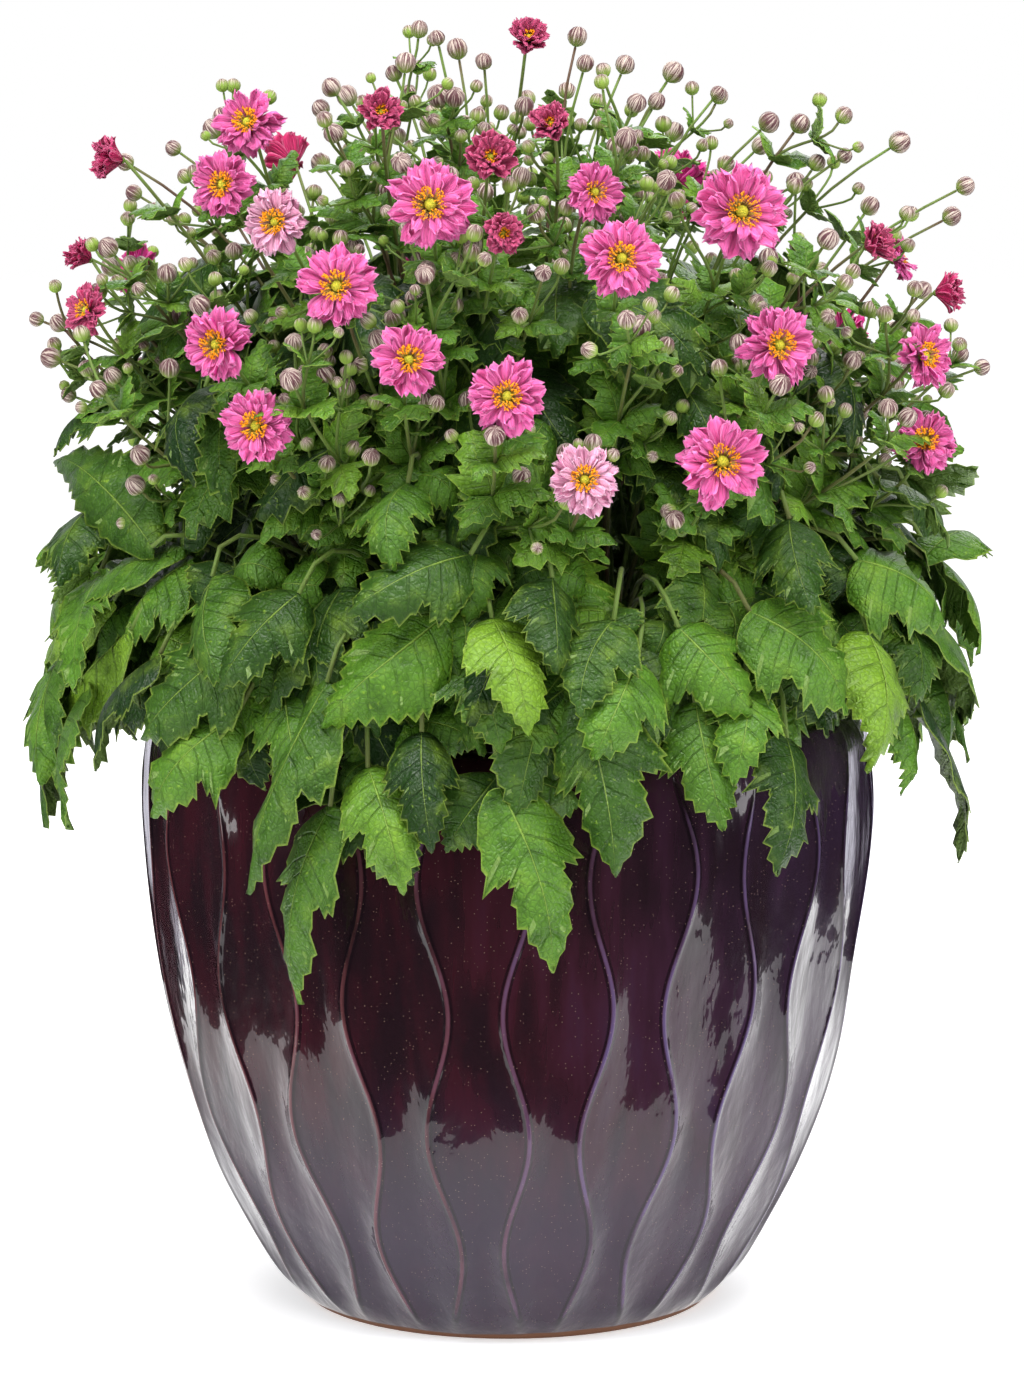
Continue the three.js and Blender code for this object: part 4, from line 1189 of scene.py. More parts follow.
PETAL_RINGS = {
    OPEN: (
        PetalRing(11, 1.0, 0.1, 0.46, -0.08, -0.06),
        PetalRing(10, 0.93, 0.24, 0.39, -0.02, -0.04),
        PetalRing(8, 0.72, 0.4, 0.28, 0.04, 0.0),
    ),
    CUPPED: (
        PetalRing(8, 0.98, 0.5, 0.56, -0.1, 0.05),
        PetalRing(8, 0.86, 0.78, 0.5, 0.0, 0.0),
        PetalRing(7, 0.66, 0.96, 0.4, 0.1, -0.08),
        PetalRing(6, 0.44, 0.9, 0.28, 0.16, -0.1),
    ),
}
PETAL_ROWS = 7
# How far the end of a petal is cut in at each of its columns, as a share of the bloom's radius
PETAL_NOTCHES = (-0.12, -0.01, -0.04, 0.0, -0.07, 0.0, -0.11)
PETAL_THICKNESS = 0.00035
# Radius and height of each ring of the green cup under the petals, and the ends that close it
CUP_RINGS = ((0.05, -0.2), (0.13, -0.13), (0.16, -0.04), (0.13, 0.05))
CUP_ENDS = (-0.22, 0.08)
GOLDEN_TURN = 2.399963
THREAD_RADIUS = 0.00016
SAC_RADII = (0.0003, 0.00048, 0.00026)


@dataclass(frozen=True)
class Bloom:
    """One bloom: its place on the dome, its diameter, the way it faces and how far it has opened."""

    azimuth: float
    z: float
    out: float
    across: float
    faces: tuple[float, float]
    opening: Opening

    @property
    def place(self) -> Points:
        """The middle of the bloom."""
        return polar(self.azimuth, dome_radius(self.z) * self.out, self.z)

    @property
    def radius(self) -> float:
        """Half the bloom's diameter."""
        return self.across / 2

    @property
    def is_open(self) -> bool:
        """Whether the bloom has opened fully."""
        return self.opening is OPEN

    @property
    def has_centre(self) -> bool:
        """Whether the bloom's centre is a piece of its own."""
        return self.is_open and self.across >= 0.042

    def turn(self) -> Points:
        """The rotation that takes +Z to the way the bloom faces, as a matrix of rows.

        Returns:
            The matrix.
        """
        facing = heading(*self.faces)
        axis = np.cross(UP, facing)
        skew = np.array([[0, -axis[2], axis[1]], [axis[2], 0, -axis[0]], [-axis[1], axis[0], 0]])
        return np.eye(3) + skew + skew @ skew / (1 + facing[2])

    def stand(self, points: Points) -> Points:
        """Moves points from the bloom's own frame, in shares of its radius, to its place."""
        return self.place + self.radius * points @ self.turn().T

    def petal(self, ring: PetalRing, angle: float, seed: float) -> Points:
        """One petal in the bloom's own frame.

        Args:
            ring: The ring that it stands in.
            angle: Which way it points, in radians.
            seed: Makes its shape its own.

        Returns:
            Its points, as rows from foot to tip and columns from left to right.
        """
        columns = len(PETAL_NOTCHES)
        t = np.linspace(0, 1, PETAL_ROWS)[:, None]
        s = np.linspace(-1, 1, columns)[None, :]
        base, reach = 0.1, ring.reach * (1 - 0.13 * chance(seed, 1))
        rise = ring.rise + 0.11 * jitter(seed, 2)
        widening, closing = np.clip(t / 0.62, 0, 1), np.clip((t - 0.78) / 0.22, 0, 1)
        shape = (0.24 + 0.76 * widening**0.8) * (1 - 0.42 * closing**2)
        x = 0.5 * ring.width * (1 + 0.18 * jitter(seed, 3)) * shape * s
        notches = np.array(PETAL_NOTCHES) + 0.045 * np.array([jitter(seed, 20 + k) for k in range(columns)])
        r = base + (reach - base) * t + notches[None, :] * t**5
        z = (ring.foot + (rise - ring.foot) * np.sin(t * math.pi / 2) ** 1.1
             + (ring.curl + 0.2 * jitter(seed, 4)) * t**3)
        crease = 0.06 * np.cos(s * math.pi * 1.6 + 3 * jitter(seed, 5)) * np.sin(math.pi * t * 0.75)
        cup = (0.07 + 0.08 * jitter(seed, 6)) * s**2 * t
        ruffle = 0.08 * jitter(seed, 7) * np.sin(s * 4.2 + 5 * chance(seed, 8)) * t**2
        twist = 0.65 * jitter(seed, 9) * t
        lift = crease + cup + ruffle
        side = x * np.cos(twist) - lift * np.sin(twist) + 0.1 * jitter(seed, 10) * t**2
        z = z + x * np.sin(twist) + lift * np.cos(twist)
        out = np.array([math.cos(angle), math.sin(angle)])
        tangent = np.array([-math.sin(angle), math.cos(angle)])
        return np.concatenate([r[..., None] * out + side[..., None] * tangent, z[..., None]], -1)

    def add_petals(self, draft: Draft, seed: int) -> None:
        """Adds every petal of the bloom to a draft.

        Args:
            draft: Where they go.
            seed: Makes them their own.
        """
        for level, ring in enumerate(PETAL_RINGS[self.opening]):
            for k in range(ring.count):
                mark = seed * 97 + level * 31 + k
                angle = 2 * math.pi * (k + 0.5 * (level % 2) + 0.3 * jitter(mark, 0)) / ring.count
                form = sheet(self.stand(self.petal(ring, angle + seed, mark)), PETAL_THICKNESS)
                draft.add(form, seed=chance(mark, 33) * 40, under=form.undersides())

    def add_hoops(self, draft: Draft, rings: list[Points], low: float, high: float, tone: float) -> None:
        """Adds a form of rings that is closed on the bloom's axis.

        Args:
            draft: Where it goes.
            rings: Its rings, in the bloom's own frame.
            low: The height of the point that closes the first ring.
            high: The height of the point that closes the last ring.
            tone: How light it is.
        """
        first, last = self.stand(np.array([0, 0, low])), self.stand(np.array([0, 0, high]))
        draft.add(hoops(self.stand(np.array(rings)), first, last), tone=tone)

    def add_cup(self, draft: Draft) -> None:
        """Adds the small green cup under the petals, where the stalk ends."""
        turn = full_turn(8)
        rings = [np.stack([np.cos(turn) * r, np.sin(turn) * r, np.full(8, z)], -1) for r, z in CUP_RINGS]
        self.add_hoops(draft, rings, *CUP_ENDS, 0.0)

    def add_stamens(self, draft: Draft, seed: int) -> None:
        """Adds a ring of stamens: a thin thread with a pollen sac on each.

        Args:
            draft: Where they go.
            seed: Makes them their own.
        """
        hollow, wide = (0.14, 1.0) if self.is_open else (0.4, 0.8)
        count = 112 if self.has_centre else 40
        sac = 0.0008 / self.radius
        for k in range(count):
            mark = seed * 211 + k
            angle = GOLDEN_TURN * k + 0.3 * jitter(mark, 51)
            far = (0.13 + 0.23 * math.sqrt(k / count)) * wide
            rise = hollow + 0.2 - 0.24 * (far / wide - 0.17) + 0.05 * jitter(mark, 52)
            tip = np.array([far * math.cos(angle), far * math.sin(angle), rise])
            foot = np.array([0.1 * math.cos(angle), 0.1 * math.sin(angle), hollow - 0.06])
            draft.add(tube(self.stand(np.array([foot, tip])), THREAD_RADIUS, 3), tone=0.1)
            lean = unit(np.array([math.cos(angle + 2 * jitter(mark, 53)), math.sin(angle), 0.5]))
            path = self.stand(tip + lean * np.linspace(-sac, sac, 3)[:, None])
            draft.add(tube(path, np.array(SAC_RADII), 4), tone=0.75 + 0.25 * chance(mark, 54))

    def add_boss(self, draft: Draft) -> None:
        """Adds the domed middle, covered in small bumps.

        Args:
            draft: Where it goes.
        """
        hollow = 0.1 if self.is_open else 0.36
        rows, sides = 7, 20
        turn = full_turn(sides)
        rings = []
        for row in range(rows):
            lift = math.pi / 2 * row / rows
            r = 0.125 * math.cos(lift) * (1 + 0.06 * np.cos(turn * 10 + row * math.pi))
            z = np.full(sides, hollow + 0.05 + 0.1 * math.sin(lift))
            rings.append(np.stack([r * np.cos(turn), r * np.sin(turn), z], -1))
        self.add_hoops(draft, rings, hollow, hollow + 0.153, 0.45)


# Azimuth, height, reach in hundredths of the dome, diameter, azimuth and elevation it faces, opening
BLOOM_ROWS = (
    (-54, 742, 100, 46, -22, 24, OPEN), (-48, 708, 100, 44, -20, 8, OPEN),
    (-34, 689, 100, 44, -24, 4, OPEN), (-77, 718, 112, 32, -72, 8, CUPPED),
    (-24, 749, 100, 30, -2, 24, CUPPED), (-11, 700, 100, 56, -4, 12, OPEN),
    (-3, 724, 98, 34, 8, 26, CUPPED), (-1, 684, 95, 28, 14, 8, CUPPED), (8, 790, 80, 28, 12, 34, CUPPED),
    (9, 742, 90, 28, -16, 30, CUPPED), (14, 706, 90, 40, 26, 10, OPEN), (-22, 654, 100, 52, -12, 14, OPEN),
    (-38, 619, 100, 48, -26, 6, OPEN), (-70, 629, 100, 36, -44, 18, OPEN),
    (-86, 655, 100, 26, -84, 30, CUPPED), (-31, 574, 100, 47, -18, 6, OPEN),
    (-12, 614, 100, 46, 10, 16, OPEN), (0, 594, 100, 49, -4, 16, OPEN), (15, 670, 100, 51, 8, 14, OPEN),
    (35, 694, 100, 61, 14, 12, OPEN), (35, 619, 100, 50, 18, 10, OPEN), (9, 546, 100, 45, 2, 20, OPEN),
    (26, 554, 100, 57, 10, 14, OPEN), (66, 668, 94, 30, 64, 26, CUPPED), (70, 640, 104, 28, 82, 4, CUPPED),
    (64, 604, 100, 45, 44, 10, OPEN), (63, 553, 100, 43, 8, 24, OPEN), (103, 650, 96, 36, 96, 24, OPEN),
    (128, 590, 100, 50, 122, 16, OPEN), (152, 690, 100, 54, 156, 22, OPEN),
    (196, 620, 100, 48, 190, 14, OPEN), (218, 705, 100, 38, 212, 26, CUPPED),
    (244, 640, 100, 40, 240, 18, OPEN),
)
BLOOMS = tuple(Bloom(azimuth, z / MILLIMETRE, out / 100, across / MILLIMETRE, (faces, lifted), opening)
               for azimuth, z, out, across, faces, lifted, opening in BLOOM_ROWS)
PALE_BLOOMS = (3, 22)
DEEP_BLOOMS = (4, 5, 7, 8, 9, 10, 14, 15, 24, 25, 32)
# Places of the outermost buds, in millimetres
TALL_TIPS = (
    (-42, -30, 786), (-30, 20, 776), (-14, -50, 772), (42, 20, 784), (46, -30, 770), (70, 0, 768),
    (88, -40, 748), (127, 10, 752), (155, -30, 735), (153, 20, 719), (203, -20, 716), (237, 10, 722),
    (277, -10, 697), (272, 30, 676), (290, 0, 585), (-111, -20, 743), (-96, 20, 748), (-203, 10, 719),
    (-230, -20, 712), (-228, 20, 691), (-260, -10, 656), (-288, 0, 615), (-275, -30, 593), (-270, 20, 566),
    (60, 160, 735), (-50, 190, 725), (0, 230, 690), (-120, 200, 700), (140, 190, 700), (20, -240, 660),
    (-60, -200, 720), (90, -200, 710),
)


def tint_of(number: int) -> Tint:
    """The colour of the bloom with a number."""
    if number in PALE_BLOOMS:
        return Tint.PALE
    return Tint.DEEP if number in DEEP_BLOOMS else Tint.PINK


def sideways(along: Points, turn: float, lean: float) -> Points:
    """A unit vector that leans away from another.

    Args:
        along: The other one.
        turn: To which side it leans, in degrees about the other one.
        lean: How far it leans, where 1 is half a right angle.

    Returns:
        The vector.
    """
    side = unit(np.cross(along, UP))
    other = np.cross(along, side)
    angle = math.radians(turn)
    return unit(along + lean * (math.cos(angle) * side + math.sin(angle) * other))


def arrival(path: Points) -> Points:
    """The direction in which a path ends."""
    return unit(path[-1] - path[-2])


def fork_of(path: Points, index: int) -> tuple[Points, Points]:
    """A point of a path, and the direction in which the path goes on."""
    return path[index], unit(path[index + 1] - path[index])


@dataclass(frozen=True)
class LeafLayer:
    """A layer of leaves in a plant: how many, and the ranges of their heights, widths and tones."""

    count: int
    heights: tuple[float, float]
    widths: tuple[float, float]
    tones: tuple[float, float]
    # How steeply the leaves' upper sides face up, in degrees
    facing: float


INNER_LAYER = LeafLayer(34, (0.40, 0.24), (0.046, 0.016), (0.06, 0.4), 45)
RIM_LAYER = LeafLayer(16, (0.412, 0.075), (0.056, 0.014), (0.1, 0.42), 35)
HEART_LAYER = LeafLayer(7, (0.49, 0.13), (0.058, 0.0), (0.12, 0.3), 80)


@dataclass(frozen=True)
class Twig:
    """The short stalk of a small bud: its stretches, its handles' reach and drop, its radius."""

    steps: int
    run: float
    drop: float
    radius: float


SPRAY_TWIG = Twig(5, 0.4, 0.006, 0.0008)
SHOOT_TWIG = Twig(4, 0.3, 0.004, 0.0007)


@dataclass
class Plant:
    """One of the six plants: its leaves, its branched flower stems and their buds."""

    number: int
    stem_radius: float = 0.0017
    stalk_radius: float = 0.0009
    petiole_radius: float = 0.0015
    basal_width: float = 1.24
    basal_length: float = 0.18
    crown_leaves: int = 2
    # Distance from the axis and height of a crown leaf's foot and tip
    crown_foot: tuple = (0.070, 0.630)
    crown_tip: tuple = (0.192, 0.580)
    crown_width: float = 0.07
    heart_radius: float = 0.07
    # Height and reach of each stem that ends in a bud, the reach as a share of the dome's
    bud_stems: tuple = ((0.640, 0.96), (0.722, 0.88), (0.60, 1.0), (0.755, 0.62), (0.67, 0.98), (0.58, 1.0))
    bud_reach: float = 0.279
    bud_height: float = 0.788
    bud_rows: int = 7
    bud_sides: int = 8
    # The range of the radii of a bud: on a tall stem, on a bud stem, on a shoot, and below them on twigs
    tall_bud: tuple = (0.0062, 0.0012)
    stem_bud: tuple = (0.0068, 0.001)
    shoot_bud: tuple = (0.0044, 0.0024)
    spray_bud: tuple = (0.0042, 0.0016)
    twig_bud: tuple = (0.0034, 0.002)
    # How many shoots each fork of a stem has, and how far apart the forks are as a share of the stem
    shoots: tuple = (2, 2, 1)
    fork_gap: float = 0.14
    # The length of the leaves round a stem's fork, which grows less from fork to fork
    fork_leaves: tuple = (0.046, -0.010)
    spray_leaves: float = 0.024
    twig_leaves: float = 0.019
    leaves: Draft = field(default_factory=Draft)
    stems: Draft = field(default_factory=Draft)
    buds: Draft = field(default_factory=Draft)

    def grow(self) -> None:
        """Grows everything of the plant."""
        self.grow_basal_leaves()
        self.grow_crown_leaves()
        self.grow_inner_leaves()
        self.grow_rim_leaves()
        self.grow_heart_leaves()
        for index, bloom in enumerate(BLOOMS):
            if plant_at(bloom.azimuth) == self.number:
                self.grow_bloom_stem(bloom, index)
        for index in range(len(self.bud_stems)):
            self.grow_bud_stem(index)
        for index, tip in enumerate(np.array(TALL_TIPS) / MILLIMETRE):
            if plant_at(math.degrees(math.atan2(tip[0], -tip[1]))) == self.number:
                self.grow_tall_stem(tip, index)

    def grow_basal_leaves(self) -> None:
        """Grows the leaves that hang over the rim, each on its petiole, and the same turned to the back."""
        for k, (foot_at, foot_z, tip_at, tip_z, width) in enumerate(BASAL_LEAVES):
            turned = 180 + 4 * jitter(k, 61)
            rise = 0.010 * jitter(k, 62)
            row = (foot_at, foot_z / MILLIMETRE, tip_at, tip_z / MILLIMETRE)
            back = (row[0] + turned, row[1] + rise, row[2] + turned, row[3] + rise)
            for mark, ends in ((k, row), (k + len(BASAL_LEAVES), back)):
                if plant_at(ends[0]) == self.number:
                    self.grow_basal_leaf(*ends, width / MILLIMETRE, mark)

    def grow_basal_leaf(self, foot_at: float, foot_z: float, tip_at: float, tip_z: float, width: float,
                        mark: int) -> None:
        """Grows one leaf with its petiole and its side leaflets.

        Args:
            foot_at: The azimuth of the blade's foot.
            foot_z: The height of the blade's foot.
            tip_at: The azimuth of its tip.
            tip_z: The height of its tip.
            width: Its width.
            mark: Its seed.
        """
        foot = polar(foot_at, skirt_radius(foot_at, foot_z) - 0.028, foot_z)
        tip = polar(tip_at, skirt_radius(tip_at, tip_z), tip_z)
        up = heading(foot_at, 38)
        self.grow_leaf(foot, tip + self.basal_length * (tip - foot), width * self.basal_width, up, mark,
                       self.basal_tone(mark, foot_z))
        self.grow_petiole(foot_at, foot, tip)
        self.grow_side_leaflets(foot, tip, width, up, mark)

    def basal_tone(self, seed: float, z: float) -> float:
        """How light a basal leaf is: the odd one is lime, and lower ones are lighter."""
        if chance(seed, 71) > 0.9:
            return 0.7
        return 0.04 + 0.58 * chance(seed, 72) + 0.7 * max(0.0, 0.44 - z)

    def grow_leaf(self, foot: Points, tip: Points, width: float, up: Points, seed: float,
                  tone: float, form: LeafForm | None = None) -> None:
        """Grows one blade.

        Args:
            foot: Where it starts.
            tip: Where it would end, before it is drawn in to where leaves may reach.
            width: Its greatest width.
            up: Which way its upper side faces, before it is turned a little.
            seed: Makes its shape its own.
            tone: How light it is.
            form: Its outline. Without one, its seed draws it.
        """
        reach = math.hypot(tip[0] / LEAF_LIMIT[0], tip[1] / LEAF_LIMIT[1])
        tip = tip * np.array([1, 1, 0]) * min(1.0, 0.975 / max(reach, 0.1)) + np.array([0, 0, tip[2]])
        form = form or OUTER_FORMS[int(len(OUTER_FORMS) * chance(seed, 73))]
        arch, fold = 0.010 + 0.006 * jitter(seed, 9), 0.022 + 0.014 * jitter(seed, 10)
        turned = unit(up + 0.5 * np.array([jitter(seed, 76), jitter(seed, 77), 0.7 * jitter(seed, 78)]))
        Leaf(foot, tip, width, turned, form, arch, fold, seed, tone).add_to(self.leaves)

    def add_stem(self, points: list[Points], steps: int, thick: float, thin: float, tone: float) -> Points:
        """Adds a stem or a stalk.

        Args:
            points: The start, the two handles and the end of its curve.
            steps: How many stretches it has.
            thick: Its radius at the start.
            thin: Its radius at the end.
            tone: How brown it is.

        Returns:
            The points of its middle line.
        """
        path = bezier(points, steps)
        self.stems.add(tube(path, np.linspace(thick, thin, len(path))), tone=tone)
        return path

    def grow_petiole(self, azimuth: float, foot: Points, tip: Points) -> None:
        """Grows a leaf's stalk from the crown, over the rim, to the blade's foot.

        Args:
            azimuth: The azimuth of the blade's foot.
            foot: Where the stalk ends.
            tip: The blade's tip.
        """
        start = crown_top(self.number)
        middle = plant_azimuth(self.number, 0.5)
        away = (azimuth - middle + 180) % 360 - 180
        low = start + polar(middle + away, 0.03, 0.10)
        high = foot + 0.035 * unit(foot - tip) + np.array([0, 0, max(0.04, 0.44 - foot[2])])
        self.add_petiole([start, low, high, foot], 9)

    def add_petiole(self, points: list[Points], steps: int) -> None:
        """Adds the stalk of a leaf."""
        self.add_stem(points, steps, self.petiole_radius, self.petiole_radius, 0.1)

    def grow_side_leaflets(self, foot: Points, tip: Points, width: float, up: Points,
                           seed: float) -> None:
        """Grows the two smaller leaflets that stand beside the foot of a blade with these measures.

        Args:
            foot: The foot of the blade.
            tip: Its tip.
            width: The width of a leaflet.
            up: Which way its upper side faces.
            seed: Makes the leaflets their own.
        """
        run = tip - foot
        across = unit(np.cross(run, up))
        inward = -0.018 * unit(np.array([foot[0], foot[1], 0]))
        for side in (-1, 1):
            mark = seed + 300 * side
            if chance(mark, 74) > 0.88:
                continue
            size = 0.62 + 0.16 * jitter(mark, 75)
            way = unit(unit(run) * 0.62 + side * across * 0.8)
            start = foot + inward - run * 0.05
            end = start + way * float(np.linalg.norm(run)) * size + inward * 0.6
            self.grow_leaf(start, end, width, up, mark, self.basal_tone(mark, foot[2]) * 0.85)

    def grow_crown_leaves(self) -> None:
        """Grows the large leaves that rise from the top of the plant's middle, each of three blades."""
        for k in range(self.crown_leaves):
            seed = self.number * 31 + k
            azimuth = plant_azimuth(self.number, (k + 0.5 + 0.15 * jitter(seed, 41)) / self.crown_leaves)
            rise = 0.014 * jitter(seed, 42)
            foot = polar(azimuth, self.crown_foot[0], self.crown_foot[1] + rise)
            out = self.crown_tip[0] + 0.008 * jitter(seed, 44)
            tip = polar(azimuth + 6 * jitter(seed, 43), out, self.crown_tip[1] + rise)
            for side in (-0.5, 0, 0.5):
                way = polar(azimuth + 90, 0.055 * side, 0)
                end = foot + (tip - foot) * (0.95 - 0.3 * abs(side)) + way * 1.5
                up = heading(azimuth, 68)
                self.grow_leaf(foot + 0.2 * way, end, self.crown_width, up, seed + 50 * side, 0.22)
            handles = [polar(azimuth, 0.09, 0.46), polar(azimuth, 0.06, 0.58)]
            self.add_petiole([crown_top(self.number), *handles, foot], 8)

    def grow_inner_leaves(self) -> None:
        """Grows the leaves that fill the plant's inside, darker than the outer ones."""
        layer = INNER_LAYER
        for k in range(layer.count):
            seed = self.number * 131 + k + 7
            azimuth = plant_azimuth(self.number, chance(seed, 81))
            z = spread(layer.heights, (k + 0.5) / layer.count)
            radius = skirt_radius(azimuth, z) * (0.52 + 0.36 * chance(seed, 82))
            foot = polar(azimuth, radius - 0.03, z + 0.02)
            drop = 0.035 + 0.03 * chance(seed, 83)
            tip = polar(azimuth + 14 * jitter(seed, 84), radius + 0.025, z + 0.02 - drop)
            width = spread(layer.widths, chance(seed, 85))
            tone = spread(layer.tones, chance(seed, 86) ** 1.5)
            self.grow_leaf(foot, tip, width, heading(azimuth, layer.facing), seed, tone, INNER)

    def grow_rim_leaves(self) -> None:
        """Grows the leaves that cover the planter's rim and the stalks above it."""
        layer = RIM_LAYER
        for k in range(layer.count):
            seed = self.number * 173 + k + 3
            azimuth = plant_azimuth(self.number, (k + 0.5 + 0.4 * jitter(seed, 111)) / layer.count)
            z = spread(layer.heights, chance(seed, 112))
            reach = skirt_radius(azimuth, z) - 0.012 - 0.03 * chance(seed, 113)
            foot = polar(azimuth, reach - 0.032, z)
            tip = polar(azimuth + 12 * jitter(seed, 114), reach, z - 0.05 - 0.02 * chance(seed, 115))
            width, tone = spread(layer.widths, chance(seed, 116)), spread(layer.tones, chance(seed, 117))
            self.grow_leaf(foot, tip, width, heading(azimuth, layer.facing), seed, tone)

    def grow_heart_leaves(self) -> None:
        """Grows the leaves that close the middle between the plants, which is seen from above."""
        layer = HEART_LAYER
        for k in range(layer.count):
            seed = self.number * 57 + k + 11
            azimuth = plant_azimuth(self.number, (k + 0.5) / layer.count)
            z = spread(layer.heights, chance(seed, 132))
            foot = polar(azimuth, self.heart_radius, z)
            tip = polar(azimuth + 25 * jitter(seed, 133), 0.03 * jitter(seed, 134), z - 0.014)
            tone = spread(layer.tones, chance(seed, 135))
            self.grow_leaf(foot, tip, layer.widths[0], heading(azimuth, layer.facing), seed, tone, INNER)

    def grow_tall_stem(self, head: Points, index: int) -> None:
        """Grows a stem that ends in a bud at a point of the outline, with a pair of buds below it.

        Args:
            head: The point.
            index: The seed.
        """
        lean = unit(np.array([head[0], head[1], 0.35 * distance(crown_top(self.number), head)]))
        path = self.grow_main_stem(head, lean, 0.0009, 0.5 * chance(index, 121), 0.5)
        self.grow_bud(path, spread(self.tall_bud, jitter(index, 122)), index, 0.5)
        self.grow_whorl(path, 13, index + 0.5, self.spray_leaves)
        knot, along = fork_of(path, 13)
        for k in range(2):
            way = sideways(along, 170 * k + 60 * chance(index, 123), 0.7)
            twig = self.grow_twig(knot, knot + way * 0.036, SPRAY_TWIG)
            self.grow_bud(twig, spread(self.spray_bud, chance(index, 124 + k)), index + 7 * k, 0.25)

    def grow_bloom_stem(self, bloom: Bloom, index: int) -> None:
        """Grows the stem of one bloom, with side shoots on its upper half.

        Args:
            bloom: The bloom.
            index: The seed.
        """
        head = bloom.stand(np.array([0, 0, CUP_RINGS[0][1]]))
        arriving = unit(heading(*bloom.faces) + UP)
        path = self.grow_main_stem(head, arriving, 0.0011, 0.5 * chance(index, 91))
        self.grow_shoots(path, index * 7 + 3, 0.62)

    def grow_bud_stem(self, index: int) -> None:
        """Grows a stem that ends in a bud, with side shoots.

        Args:
            index: Which of the plant's bud stems it is.
        """
        seed = self.number * 17 + index
        azimuth = plant_azimuth(self.number, (index + 0.5 + 0.3 * jitter(seed, 21)) / 7)
        height, out = self.bud_stems[index]
        z = height + 0.014 * jitter(seed, 22)
        head = polar(azimuth, dome_radius(z) * out, z)
        path = self.grow_main_stem(head, heading(azimuth, 52), 0.001, 0.5 * chance(seed, 92))
        self.grow_bud(path, spread(self.stem_bud, jitter(seed, 23)), seed, 0.5)
        self.grow_shoots(path, seed * 5 + 2, 0.7)

    def grow_main_stem(self, head: Points, arriving: Points, thin: float, tone: float,
                       upright: float = 0.45) -> Points:
        """Grows a stem from the crown to a bloom or a bud.

        Args:
            head: Where it ends.
            arriving: The direction in which it ends.
            thin: Its radius there.
            tone: How brown it is.
            upright: How long it stays upright, as a share of its reach.

        Returns:
            The points of its middle line.
        """
        start = crown_top(self.number)
        reach = distance(start, head)
        points = [start, start + UP * reach * upright, head - arriving * reach * 0.3, head]
        return self.add_stem(points, 16, self.stem_radius, thin, tone)

    def grow_twig(self, knot: Points, end: Points, twig: Twig) -> Points:
        """Grows the short stalk of a small bud.

        Args:
            knot: Where it starts.
            end: Where it would end, before it is drawn in to the dome.
            twig: Its shape.

        Returns:
            The points of its middle line.
        """
        end = self.kept_inside(end)
        points = [knot, knot + twig.run * (end - knot), end - UP * twig.drop, end]
        return self.add_stem(points, twig.steps, twig.radius, twig.radius, 0.0)

    def grow_shoots(self, path: Points, seed: float, start: float) -> None:
        """Grows a whorl of leaves with stalked buds at each fork of a stem.

        Args:
            path: The stem's middle line.
            seed: Makes the forks its own.
            start: Where the first fork is, as a share of the stem.
        """
        for fork, count in enumerate(self.shoots):
            mark = seed * 3 + fork
            at = start + (self.fork_gap * fork) + 0.05 * jitter(mark, 93)
            index = min(int(at * (len(path) - 1)), len(path) - 2)
            self.grow_whorl(path, index, mark, spread(self.fork_leaves, fork))
            for k in range(count):
                turn = 130 * k + 360 * chance(mark, 94)
                self.grow_shoot(*fork_of(path, index), mark * 11 + k, turn, fork == 0)

    def grow_shoot(self, base: Points, along: Points, seed: float, turn: float, lowest: bool) -> None:
        """Grows one side shoot, which ends in a bud and may fork once more. Some are left out.

        Args:
            base: Where it leaves the stem.
            along: The stem's direction there.
            seed: Makes it its own.
            turn: To which side of the stem it goes, in degrees.
            lowest: Whether it is at the stem's lowest fork, where shoots are longer.
        """
        length = (0.064 if lowest else 0.04) * (1 + 0.4 * jitter(seed, 95))
        if chance(seed, 99) > 0.72:
            return
        way = sideways(along, turn, 0.75)
        end = self.kept_inside(base + way * length + UP * 0.2 * length)
        if not self.clear_of_blooms(end):
            return
        handles = [base + along * length * 0.35, end - unit(way + 2 * UP) * length * 0.3]
        path = self.add_stem([base, *handles, end], 7, self.stalk_radius * 1.2, self.stalk_radius, 0.1)
        ripe = chance(seed, 96)
        self.grow_bud(path, spread(self.shoot_bud, ripe), seed, 0.1 + 0.4 * ripe)
        if chance(seed, 97) > 0.34:
            knot, onward = fork_of(path, 4)
            self.grow_whorl(path, 4, seed + 5, self.twig_leaves)
            for k in range(2):
                small = knot + sideways(onward, 180 * k + 40, 1.0) * (0.022 + 0.012 * chance(seed, 98 + k))
                twig = self.grow_twig(knot, small, SHOOT_TWIG)
                size = spread(self.twig_bud, chance(seed, 101 + k))
                self.grow_bud(twig, size, seed + 9 * k, 0.1 + 0.25 * chance(seed, 103 + k))

    def grow_whorl(self, path: Points, index: int, seed: float, size: float) -> None:
        """Grows a whorl of small toothed leaves round a fork.

        Args:
            path: The stem's middle line.
            index: The point of it where the fork is.
            seed: Makes the leaves their own.
            size: How long they are.
        """
        base, along = fork_of(path, index)
        form = BRACT if size < 0.03 else STEM_LEAF
        for k in range(3):
            way = sideways(along, 120 * k + 70 * chance(seed, 105), 1.7 + 0.5 * jitter(seed + k, 106))
            length = size * (1 + 0.3 * jitter(seed + k, 107))
            tip = base + way * length - UP * 0.12 * length
            tone = 0.3 + 0.35 * chance(seed + k, 108)
            leaf = Leaf(base, tip, length * 0.8, unit(along + 0.4 * UP), form, length * 0.1, length * 0.18,
                        seed + k, tone, 0.0005)
            leaf.add_to(self.leaves)

